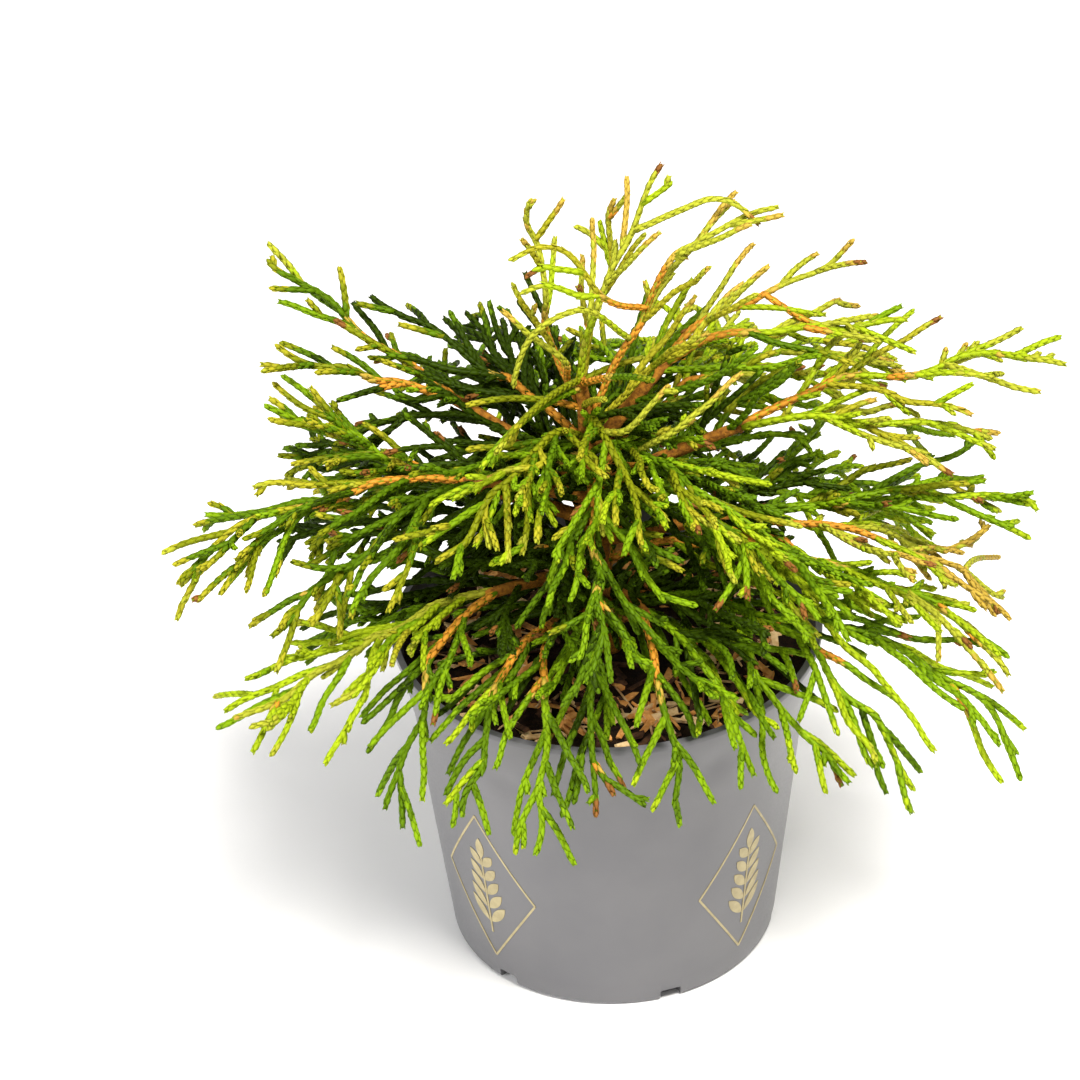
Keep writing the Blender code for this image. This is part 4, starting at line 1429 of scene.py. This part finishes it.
def mesh_from(name, points, faces, made_of):
    """A smooth-shaded object from rows of points, in mm, and of triangles."""
    mesh = bpy.data.meshes.new(name)
    mesh.vertices.add(len(points))
    mesh.vertices.foreach_set("co", (points * MM).astype(np.float32).ravel())
    mesh.loops.add(faces.size)
    mesh.loops.foreach_set("vertex_index", faces.astype(np.int32).ravel())
    mesh.polygons.add(len(faces))
    mesh.polygons.foreach_set("loop_start", np.arange(0, faces.size, 3, dtype=np.int32))
    mesh.update(calc_edges=True)
    mesh.validate()
    mesh.shade_smooth()
    mesh.materials.append(made_of)
    obj = bpy.data.objects.new(name, mesh)
    bpy.context.scene.collection.objects.link(obj)
    return obj


def blank_material(name, roughness, shine):
    """A new material, its tree and its shader."""
    made = bpy.data.materials.new(name)
    made.use_nodes = True
    shader = made.node_tree.nodes["Principled BSDF"]
    shader.inputs["Roughness"].default_value = roughness
    shader.inputs["Specular IOR Level"].default_value = shine
    return made, made.node_tree, shader


def mottle_group():
    """Shared by every finish: a soft mottle and a fine relief from the place."""
    group = bpy.data.node_groups.new("mottle", "ShaderNodeTree")
    for name in ("Size", "Grain Size", "Softness"):
        group.interface.new_socket(name, in_out="INPUT", socket_type="NodeSocketFloat")
    for name in ("Mottle", "Grain"):
        group.interface.new_socket(name, in_out="OUTPUT", socket_type="NodeSocketFloat")
    nodes, links = group.nodes, group.links
    entry = nodes.new("NodeGroupInput")
    leave = nodes.new("NodeGroupOutput")
    place = nodes.new("ShaderNodeTexCoord")
    broad = nodes.new("ShaderNodeTexNoise")
    broad.inputs["Detail"].default_value = MOTTLE_DETAIL
    fine = nodes.new("ShaderNodeTexNoise")
    fine.inputs["Detail"].default_value = GRAIN_DETAIL
    links.new(place.outputs["Object"], broad.inputs["Vector"])
    links.new(place.outputs["Object"], fine.inputs["Vector"])
    links.new(entry.outputs["Size"], broad.inputs["Scale"])
    links.new(entry.outputs["Grain Size"], fine.inputs["Scale"])
    links.new(entry.outputs["Softness"], broad.inputs["Roughness"])
    links.new(broad.outputs["Fac"], leave.inputs["Mottle"])
    links.new(fine.outputs["Fac"], leave.inputs["Grain"])
    return group


def finish_material(name, group, dark, light, finish):
    """A mottled finish between two colours, with grain in its relief and gloss."""
    roughness, shine, size, grain_size, strength, depth = FINISHES[finish]
    made, tree, shader = blank_material(name, roughness, shine)
    nodes, links = tree.nodes, tree.links
    mottle = nodes.new("ShaderNodeGroup")
    mottle.node_tree = group
    given = {"Size": size, "Grain Size": grain_size, "Softness": MOTTLE_SOFTNESS}
    for socket, value in given.items():
        mottle.inputs[socket].default_value = value
    ramp = nodes.new("ShaderNodeValToRGB")
    stops = ramp.color_ramp.elements
    for stop, spot, colour in zip(stops, MOTTLE_SPREAD, (dark, light)):
        stop.position = spot
        stop.color = colour
    links.new(mottle.outputs["Mottle"], ramp.inputs["Fac"])
    links.new(ramp.outputs["Color"], shader.inputs["Base Color"])
    gloss = nodes.new("ShaderNodeMapRange")
    gloss.inputs["To Min"].default_value = roughness - GLOSS_VARY
    gloss.inputs["To Max"].default_value = roughness + GLOSS_VARY
    links.new(mottle.outputs["Grain"], gloss.inputs["Value"])
    links.new(gloss.outputs["Result"], shader.inputs["Roughness"])
    relief = nodes.new("ShaderNodeBump")
    relief.inputs["Strength"].default_value = strength
    relief.inputs["Distance"].default_value = depth * MM
    links.new(mottle.outputs["Grain"], relief.inputs["Height"])
    links.new(relief.outputs["Normal"], shader.inputs["Normal"])
    return made


def scaled(colour, factor):
    """The colour made darker or lighter, as opaque."""
    return (colour[0] * factor, colour[1] * factor, colour[2] * factor, 1.0)


def leaf_material(name, shade, group, strength):
    """One plain leaf colour with a slight mottle and a waxy gloss."""
    colour = SHADES[shade][0]
    dark = scaled(colour, LEAF_MOTTLE[0] * strength)
    light = scaled(colour, LEAF_MOTTLE[1] * strength)
    return finish_material(name, group, dark, light, "leaf")


def dress_leaves(cords, group):
    """The leaves of each shade, in pieces of a fair size."""
    draw = random.Random(FINE_SEED)
    by_shade = {shade: [] for shade in SHADES}
    for cord in cords:
        for shade, row in leaf_rows(cord, draw):
            by_shade[shade].append(row)
    pieces = {}
    most = MOST_TRIANGLES // len(LEAF_FACES)
    for shade, rows in by_shade.items():
        made_of = leaf_material(f"leaf_{shade}", shade, group, 1.0)
        for part in range(math.ceil(len(rows) / most)):
            some = rows[part * most : (part + 1) * most]
            name = f"scales_{shade}_{part + 1}"
            piece = mesh_from(name, *leaf_arrays(some), made_of)
            settle(piece)
            pieces.setdefault(shade, piece)
    return pieces


def dress_stalks(cords, group):
    """The slim stalks under the leaves, a little darker than they are, as painted shade in the
    gaps between the scales.
    """
    for shade in SHADES:
        some = [cord for cord in cords if shade_of(cord.tone, cord.warm) == shade]
        if some:
            made_of = leaf_material(f"stalk_{shade}", shade, group, STALK_PAINTED_SHADE)
            piece = mesh_from(f"stalks_{shade}", *core_arrays(some), made_of)
            settle(piece)


def settle(piece):
    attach(piece, "root")


def stand_for_masses():
    """Each solid mass gives way to the leaves of its own tint."""
    for name, row in MASSES.items():
        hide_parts(name)


def limb_path(points, rooted, tip):
    """A limb's rounded curve, rooted in what bears it and drawn on past its tip."""
    ways = ways_along(points)
    foot = points[0] - ways[0] * rooted
    end = points[-1] + ways[-1] * tip
    return rounded([foot] + list(points) + [end], BARK_STEP)


def bark_bulge(turn, step, seed):
    """How far the bark stands out here: ridges along the limb, and knots."""
    x, y = math.cos(turn), math.sin(turn)
    ridge_spot = Vector((x * RIDGE_TURNS + seed, y * RIDGE_TURNS, step * RIDGE_RUN))
    knot_spot = Vector((x + seed * KNOT_SEED, y, step * KNOT_RUN))
    return BARK_RIDGES * noise.noise(ridge_spot) + BARK_KNOTS * noise.noise(knot_spot)


def bark_rings(path, radii, seed, flare=None):
    """Rings of points round a limb, with the bark's relief in them."""
    ways = np.gradient(path, axis=0)
    ways /= np.linalg.norm(ways, axis=1)[:, None]
    guide = Vector((1, 0, 0)) if abs(ways[0][0]) < MOSTLY_ALONG else Vector((0, 1, 0))
    rings = []
    for i, (spot, way) in enumerate(zip(path, ways)):
        way = Vector(way)
        side = (guide - way * guide.dot(way)).normalized()
        top = way.cross(side)
        relief = BARK_RELIEF * min(1.0, radii[i] / THIN_BARK)
        ring = []
        for k in range(BARK_SIDES):
            turn = math.tau * k / BARK_SIDES
            out = side * math.cos(turn) + top * math.sin(turn)
            radius = radii[i] + relief * bark_bulge(turn, i, seed)
            if flare:
                radius *= flare(spot[2], turn)
            ring.append(Vector(spot) + out * radius)
        rings.append(ring)
    return rings


def ring_arrays(rings):
    """A closed skin over rings of points."""
    sides = len(rings[0])
    points = [tuple(spot) for ring in rings for spot in ring]
    faces = side_faces(0, sides, len(rings))
    for first, order in ((0, -1), (len(rings) - 1, 1)):
        middle = len(points)
        points.append(tuple(sum((spot for spot in rings[first]), Vector()) / sides))
        for k in range(sides):
            a, b = sides * first + k, sides * first + (k + 1) % sides
            faces.append((a, b, middle) if order == 1 else (b, a, middle))
    return np.array(points), np.array(faces)


def root_flare(height, turn):
    """The trunk swells into five roots just above the soil."""
    low = clamped((FLARE_TOP - height) / (FLARE_TOP - SOIL_TOP))
    return 1.0 - (1.0 - FLARE_WAIST) * low * (0.5 - 0.5 * math.cos(ROOTS * turn))


def dress_limbs(limbs, group):
    """The trunk and each bough as barked limbs."""
    bark = finish_material("bark", group, BARK_DARK, BARK_LIGHT, "bark")
    heights = np.arange(TRUNK_RINGS[0][0], TRUNK_RINGS[-1][0] + 1.0, BARK_STEP)
    path = np.array([tuple(trunk_centre(height)) for height in heights])
    radii = [trunk_radius(height) for height in heights]
    radii[-1] *= TRUNK_END
    rings = bark_rings(path, radii, TRUNK_BARK_SEED, root_flare)
    trunk = mesh_from("trunk_skin", *ring_arrays(rings), bark)
    settle(trunk)
    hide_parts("trunk")
    for i, (name, points) in enumerate(limbs.items()):
        path = limb_path(points, ROOTED, LIMB_ON)
        radii = np.linspace(BOUGH_FOOT_RADIUS * LIMB_SWELL, BOUGH_TIP_RADIUS, len(path))
        radii[-1] *= LIMB_END
        rings = bark_rings(path, radii, BOUGH_BARK_SEED + i * BOUGH_BARK_STEP)
        limb = mesh_from(f"{name}_skin", *ring_arrays(rings), bark)
        settle(limb)
        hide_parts(name)


def pick(*objects):
    """Only these stay selected, and the first is active."""
    bpy.ops.object.select_all(action="DESELECT")
    for obj in objects:
        obj.select_set(True)
    bpy.context.view_layer.objects.active = objects[0]


def start_edit(obj):
    pick(obj)
    bpy.ops.object.mode_set(mode="EDIT")


def lathe(name, profile, sides, made_of):
    """A round body: a drum whose upper face is drawn on along the profile."""
    bpy.ops.object.select_all(action="DESELECT")
    (low_radius, low), (radius, high) = profile[:2]
    bpy.ops.mesh.primitive_cylinder_add(
        vertices=sides,
        radius=low_radius * MM,
        depth=(high - low) * MM,
        location=(0.0, 0.0, 0.5 * (low + high) * MM),
    )
    obj = bpy.context.active_object
    obj.name = name
    bpy.ops.object.transform_apply(location=True, rotation=True, scale=True)
    top = [face.index for face in obj.data.polygons if face.normal.z > FACING_UP]
    for face in obj.data.polygons:
        face.select = face.index in top
    for edge in obj.data.edges:
        edge.select = False
    for vert in obj.data.vertices:
        vert.select = vert.co.z > 0.5 * (low + high) * MM
    start_edit(obj)
    bpy.ops.mesh.select_mode(type="FACE")
    share = radius / low_radius
    centre = (0.0, 0.0, high * MM)
    bpy.ops.transform.resize(value=(share, share, 1.0), center_override=centre)
    for (before, last), (after, level) in zip(profile[1:], profile[2:]):
        bpy.ops.mesh.extrude_region_move(
            TRANSFORM_OT_translate={"value": (0.0, 0.0, (level - last) * MM)}
        )
        share = after / before
        centre = (0.0, 0.0, level * MM)
        bpy.ops.transform.resize(value=(share, share, 1.0), center_override=centre)
    bpy.ops.object.mode_set(mode="OBJECT")
    obj.data.materials.clear()
    obj.data.materials.append(made_of)
    return obj


def draw_on(profile, radius, height, steps):
    """Carries the profile on to this radius and height in even steps."""
    last_radius, last_height = profile[-1]
    for step in range(1, steps + 1):
        share = step / steps
        profile.append((
            last_radius + share * (radius - last_radius),
            last_height + share * (height - last_height),
        ))


def pot_profile():
    """The wall's cross-section, outside up and inside down, as radius, height."""
    corner = ROUND_SHARE * FOOT_ROUND
    outer = [
        (FOOT_RADIUS - FOOT_ROUND, 0.0),
        (FOOT_RADIUS - corner, corner),
        (FOOT_RADIUS, FOOT_ROUND),
    ]
    draw_on(outer, COLLAR_RADIUS, COLLAR_START, WALL_STEPS)
    draw_on(outer, RIM_RADIUS, POT_HEIGHT - LIP_HEIGHT, COLLAR_STEPS)
    corner = ROUND_SHARE * LIP_ROUND
    outer += [
        (LIP_RADIUS, POT_HEIGHT - LIP_HEIGHT + LIP_ROUND),
        (LIP_RADIUS, POT_HEIGHT - LIP_ROUND),
        (LIP_RADIUS - corner, POT_HEIGHT - corner),
        (LIP_RADIUS - LIP_ROUND, POT_HEIGHT),
    ]
    inner = [(RIM_RADIUS - WALL, POT_HEIGHT)]
    draw_on(inner, COLLAR_RADIUS - WALL, COLLAR_START, COLLAR_STEPS)
    inner += [
        (FOOT_RADIUS - WALL, FOOT_ROUND + FLOOR),
        (FOOT_RADIUS - WALL - FOOT_ROUND, FLOOR),
    ]
    return outer + inner


def press_dents(obj):
    """The soft hollows in the flexible wall."""
    for vert in obj.data.vertices:
        out = math.hypot(vert.co.x, vert.co.y) / MM
        height = vert.co.z / MM
        if height < 2 * FLOOR or out < FOOT_RADIUS - 2 * WALL:
            continue
        push = 0.0
        for azimuth, level, half, depth in DENTS:
            spot = polar(azimuth, out, level)
            apart = math.dist((vert.co.x / MM, vert.co.y / MM, height), spot)
            push += depth * math.exp(-((apart / half) ** 2))
        share = 1 - min(push, WALL) / out
        vert.co.x *= share
        vert.co.y *= share


def notch_cutter():
    """The blocks that cut the drainage notches, joined into one."""
    blocks = []
    for k in range(NOTCHES):
        azimuth = FIRST_NOTCH + 360.0 * k / NOTCHES
        bpy.ops.object.select_all(action="DESELECT")
        place = polar(azimuth, FOOT_RADIUS, 0.0) * MM
        bpy.ops.mesh.primitive_cube_add(size=1.0, location=place)
        block = bpy.context.active_object
        block.scale = (NOTCH_WIDTH * MM, NOTCH_DEPTH * MM, 2 * NOTCH_HEIGHT * MM)
        block.rotation_euler = (0.0, 0.0, -math.radians(azimuth))
        bpy.ops.object.transform_apply(location=True, rotation=True, scale=True)
        round_off = block.modifiers.new("round", "BEVEL")
        round_off.width = NOTCH_ROUND * MM
        round_off.segments = NOTCH_STEPS
        bpy.ops.object.modifier_apply(modifier=round_off.name)
        blocks.append(block)
    pick(*blocks)
    bpy.ops.object.join()
    return blocks[0]


def shade_by_angle(obj, degrees):
    """Smooth shading, but across sharper edges than this."""
    pick(obj)
    bpy.ops.object.shade_smooth_by_angle(angle=math.radians(degrees))


def dress_pot(group):
    """The pot: pressed wall, rolled lip and notches at the foot."""
    plastic = finish_material("grey_plastic", group, PLASTIC_DARK, PLASTIC_LIGHT, "plastic")
    pot = lathe("pot_shell", pot_profile(), POT_SIDES, plastic)
    press_dents(pot)
    cutter = notch_cutter()
    cut = pot.modifiers.new("notches", "BOOLEAN")
    cut.operation = "DIFFERENCE"
    cut.object = cutter
    cut.solver = "EXACT"
    bpy.context.view_layer.objects.active = pot
    bpy.ops.object.modifier_apply(modifier=cut.name)
    bpy.data.objects.remove(cutter, do_unlink=True)
    shade_by_angle(pot, POT_SMOOTH)
    settle(pot)
    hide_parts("pot")


def soil_height(x, y):
    """The top of the soil at this place, level round the stem."""
    near = clamped((math.hypot(x, y) - LEVEL_WITHIN) / LEVEL_FADE)
    relief = 0.0
    for close, share, seed in SOIL_WAVES:
        relief += share * noise.noise(Vector((x * close, y * close, seed)))
    return SOIL_TOP + near * SOIL_RELIEF * relief


def dress_soil(group):
    """The soil's filling with its uneven top."""
    clear = WALL + GAP
    low = FLOOR + GAP
    profile = [
        (FOOT_RADIUS - clear - FOOT_ROUND, low),
        (FOOT_RADIUS - clear, low + FOOT_ROUND),
        (COLLAR_RADIUS - clear, COLLAR_START),
    ]
    radius = wall_radius(SOIL_TOP) - clear
    while radius > SOIL_STEP:
        profile.append((radius, SOIL_TOP))
        radius -= SOIL_STEP
    earth = finish_material("earth", group, SOIL_DARK, SOIL_LIGHT, "earth")
    soil = lathe("soil_top", profile, SOIL_SIDES, earth)
    for vert in soil.data.vertices:
        if vert.co.z > (SOIL_TOP - SOIL_TOP_SPARE) * MM:
            vert.co.z = soil_height(vert.co.x / MM, vert.co.y / MM) * MM
    shade_by_angle(soil, SOIL_SMOOTH)
    settle(soil)
    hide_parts("soil")


def scatter_spot(draw, nearest, edge):
    """A place on the soil, out of the trunk's way, and for pale pieces out of the shade under
    the crown, as painted shade.
    """
    reach = math.sqrt(draw.uniform(nearest, 1.0)) * edge
    turn = draw.uniform(0, math.tau)
    return reach * math.cos(turn), reach * math.sin(turn)


def chip_points(draw, size, centre, tilt):
    """The corners of one splinter, skewed and tilted where it lies."""
    long, wide, thick = size
    turn = Matrix.Rotation(draw.uniform(0, math.tau), 3, "Z")
    lean = Matrix.Rotation(draw.gauss(0, tilt), 3, "Y")
    lean = lean @ Matrix.Rotation(draw.gauss(0, tilt), 3, "X")
    corners = []
    for level in (-0.5, 0.5):
        for x, y in ((-0.5, -0.5), (0.5, -0.5), (0.5, 0.5), (-0.5, 0.5)):
            skew_x = draw.uniform(-CHIP_SKEW[0], CHIP_SKEW[0]) * long
            skew_y = draw.uniform(-CHIP_SKEW[1], CHIP_SKEW[1]) * wide
            corner = Vector((x * long + skew_x, y * wide + skew_y, level * thick))
            corners.append(tuple(turn @ (lean @ corner) + centre))
    return corners


def strewn(draw, count, nearest, lengths, widths, thick, tilt):
    """Many splinters lying on the soil, as one pair of arrays."""
    points, faces = [], []
    for _ in range(count):
        long = draw.uniform(*lengths)
        x, y = scatter_spot(draw, nearest, CHIP_EDGE - 0.5 * long)
        size = (long, draw.uniform(*widths), thick)
        raised = CHIP_BEDDED * thick + draw.uniform(0.0, CHIP_RAISED)
        centre = Vector((x, y, soil_height(x, y) + raised))
        first = len(points)
        points += chip_points(draw, size, centre, tilt)
        faces += [(a + first, b + first, c + first) for a, b, c in CHIP_FACES]
    return np.array(points), np.array(faces)


def dress_chips(group):
    """Chips of bark in three browns, and pale fibres among them."""
    draw = random.Random(SOIL_SEED)
    for i, (name, pair) in enumerate(CHIP_COLOURS.items()):
        wood = finish_material(name, group, pair[0], pair[1], "chip")
        count = int(CHIPS * CHIP_SHARES[i])
        arrays = strewn(
            draw, count, CHIP_NEAREST[i], CHIP_LENGTH, CHIP_WIDTH, CHIP_THICK, CHIP_TILT
        )
        chips = mesh_from(name, *arrays, wood)
        shade_by_angle(chips, CHIP_SMOOTH)
        settle(chips)
    pale = finish_material("fibre", group, FIBRE_COLOURS[0], FIBRE_COLOURS[1], "fibre")
    arrays = strewn(
        draw, FIBRES, FIBRE_NEAREST, FIBRE_LENGTH, FIBRE_WIDTH, FIBRE_THICK, FIBRE_TILT
    )
    fibres = mesh_from("fibres", *arrays, pale)
    settle(fibres)


def leaf_outline(root, lean, long, wide):
    """A pointed leaf drawn flat, as points round it from its foot."""
    ahead = (math.sin(lean), math.cos(lean))
    aside = (ahead[1], -ahead[0])
    steps = SPRIG_LEAF_STEPS
    edge = []
    for hand, order in ((1, range(steps + 1)), (-1, range(steps - 1, 0, -1))):
        for k in order:
            t = k / steps
            half = hand * 0.5 * wide * math.sin(math.pi * t) ** SPRIG_LEAF_ROUND
            edge.append((
                root[0] + ahead[0] * long * t + aside[0] * half,
                root[1] + ahead[1] * long * t + aside[1] * half,
            ))
    return edge


def bar_outline(start, end, line):
    """A straight bar drawn flat, cut into short lengths so it can wrap."""
    length = math.dist(start, end)
    steps = max(2, int(length / BAR_STEP))
    ahead = ((end[0] - start[0]) / length, (end[1] - start[1]) / length)
    aside = (ahead[1] * line / 2, -ahead[0] * line / 2)
    edge = []
    for hand, order in ((1, range(steps + 1)), (-1, range(steps, -1, -1))):
        for k in order:
            t = k / steps
            edge.append((
                start[0] + (end[0] - start[0]) * t + hand * aside[0],
                start[1] + (end[1] - start[1]) * t + hand * aside[1],
            ))
    return edge


def print_shapes():
    """The flat outlines of one ornament."""
    wide, high = FRAME_HALF_WIDTH, FRAME_HALF_HEIGHT
    corners = [(0, high), (wide, 0), (0, -high), (-wide, 0)]
    shapes = []
    for a, b in zip(corners, corners[1:] + corners[:1]):
        shapes.append(bar_outline(a, b, FRAME_LINE))
    low, top = (high * share for share in SPRIG_STALK)
    shapes.append(bar_outline((0, low), (0, top), SPRIG_LINE))
    for pair in range(SPRIG_PAIRS):
        height = high * (SPRIG_PAIRS_FROM + SPRIG_PAIR_STEP * pair)
        size = SPRIG_LEAF * (1 - SPRIG_SHRINK * pair)
        for hand in (-1, 1):
            root = (hand * SPRIG_ASIDE, height)
            lean = math.radians(SPRIG_LEAN) * hand
            shapes.append(leaf_outline(root, lean, size, SPRIG_LEAF_WIDTH))
    size = SPRIG_LEAF * SPRIG_TOP_SIZE
    shapes.append(leaf_outline((0, high * SPRIG_TOP), 0.0, size, SPRIG_LEAF_WIDTH))
    return shapes


def on_wall(azimuth, flat, proud):
    """A flat drawing's point laid on the pot's wall."""
    height = PRINT_CENTRE + flat[1]
    radius = wall_radius(height)
    turn = azimuth - math.degrees(flat[0] / radius)
    return polar(turn, radius + proud, height)


def plate_faces(first, count):
    """The sides and the two faces of a thin plate with this many points round."""
    faces = side_faces(first, count, 2)
    for k in range(1, count // 2 + 1):
        near = (k - 1, k)
        far = (count - k, (count - k + 1) % count)
        for tri in ((near[0], near[1], far[0]), (near[0], far[0], far[1])):
            if len(set(tri)) == 3:
                faces.append(tuple(first + count + i for i in tri))
                faces.append(tuple(first + i for i in reversed(tri)))
    return faces


def dress_prints(group):
    """The ornament in muted gold, a hair proud of the wall, at each place."""
    points, faces = [], []
    for azimuth in PRINTS:
        for outline in print_shapes():
            faces += plate_faces(len(points), len(outline))
            for proud in (-PRINT_SUNK, PRINT_PROUD):
                points += [tuple(on_wall(azimuth, flat, proud)) for flat in outline]
    gilt = finish_material("dull_gilt", group, PRINT_DARK, PRINT_LIGHT, "gilt")
    prints = mesh_from("ornament", np.array(points), np.array(faces), gilt)
    start_edit(prints)
    bpy.ops.mesh.select_all(action="SELECT")
    bpy.ops.mesh.remove_doubles(threshold=PRINT_MERGE * MM)
    bpy.ops.mesh.normals_make_consistent(inside=False)
    bpy.ops.object.mode_set(mode="OBJECT")
    shade_by_angle(prints, PRINT_SMOOTH)
    settle(prints)


def lay_floor():
    """The plain pale floor that the pot stands on."""
    bpy.ops.object.select_all(action="DESELECT")
    bpy.ops.mesh.primitive_plane_add(size=FLOOR_SIZE, location=(0.0, 0.0, -FLOOR_DROP))
    floor = bpy.context.active_object
    floor.name = "pale_floor"
    bpy.ops.object.transform_apply(location=True, rotation=True, scale=True)
    made, _, shader = blank_material("pale_floor", FLOOR_ROUGH, FLOOR_SHINE)
    shader.inputs["Base Color"].default_value = FLOOR_COLOUR
    floor.data.materials.append(made)


def hang_lamp(name, place, size, power, colour):
    """A round soft lamp that looks at the plant's middle."""
    lamp = bpy.data.lights.new(name, "AREA")
    lamp.shape = "DISK"
    lamp.size = size
    lamp.energy = power
    lamp.color = colour
    obj = bpy.data.objects.new(name, lamp)
    obj.location = place
    aim = Vector(LAMP_AIM) - Vector(place)
    obj.rotation_euler = aim.to_track_quat("-Z", "Y").to_euler()
    bpy.context.scene.collection.objects.link(obj)


def light_studio():
    """A white room, a broad key from the upper right, and a weak fill."""
    world = bpy.data.worlds.new("white_room")
    world.use_nodes = True
    sky = world.node_tree.nodes["Background"]
    sky.inputs["Color"].default_value = ROOM_COLOUR
    sky.inputs["Strength"].default_value = ROOM_STRENGTH
    bpy.context.scene.world = world
    for name, (place, size, power, colour) in LAMPS.items():
        hang_lamp(name, place, size, power, colour)
    bpy.context.scene.view_settings.view_transform = "Standard"


def place_camera():
    """The photograph's own view."""
    lens = bpy.data.cameras.new("camera")
    lens.lens = LENS
    lens.sensor_width = SENSOR
    lens.clip_start = NEAR_CLIP
    camera = bpy.data.objects.new("camera", lens)
    tilt = Matrix.Rotation(math.radians(CAMERA_TILT), 4, "X")
    roll = Matrix.Rotation(math.radians(CAMERA_ROLL), 4, "Z")
    camera.matrix_world = Matrix.Translation(CAMERA_PLACE) @ tilt @ roll
    bpy.context.scene.collection.objects.link(camera)
    bpy.context.scene.camera = camera


def main():
    place_camera()
    group = mottle_group()
    limbs, spines, whips = plan_crown()
    cords = grow_cords(limbs, spines, whips)
    warmed(cords)
    pieces = dress_leaves(cords, group)
    dress_stalks(cords, group)
    stand_for_masses()
    dress_limbs(limbs, group)
    dress_pot(group)
    dress_prints(group)
    dress_soil(group)
    dress_chips(group)
    lay_floor()
    light_studio()


main()
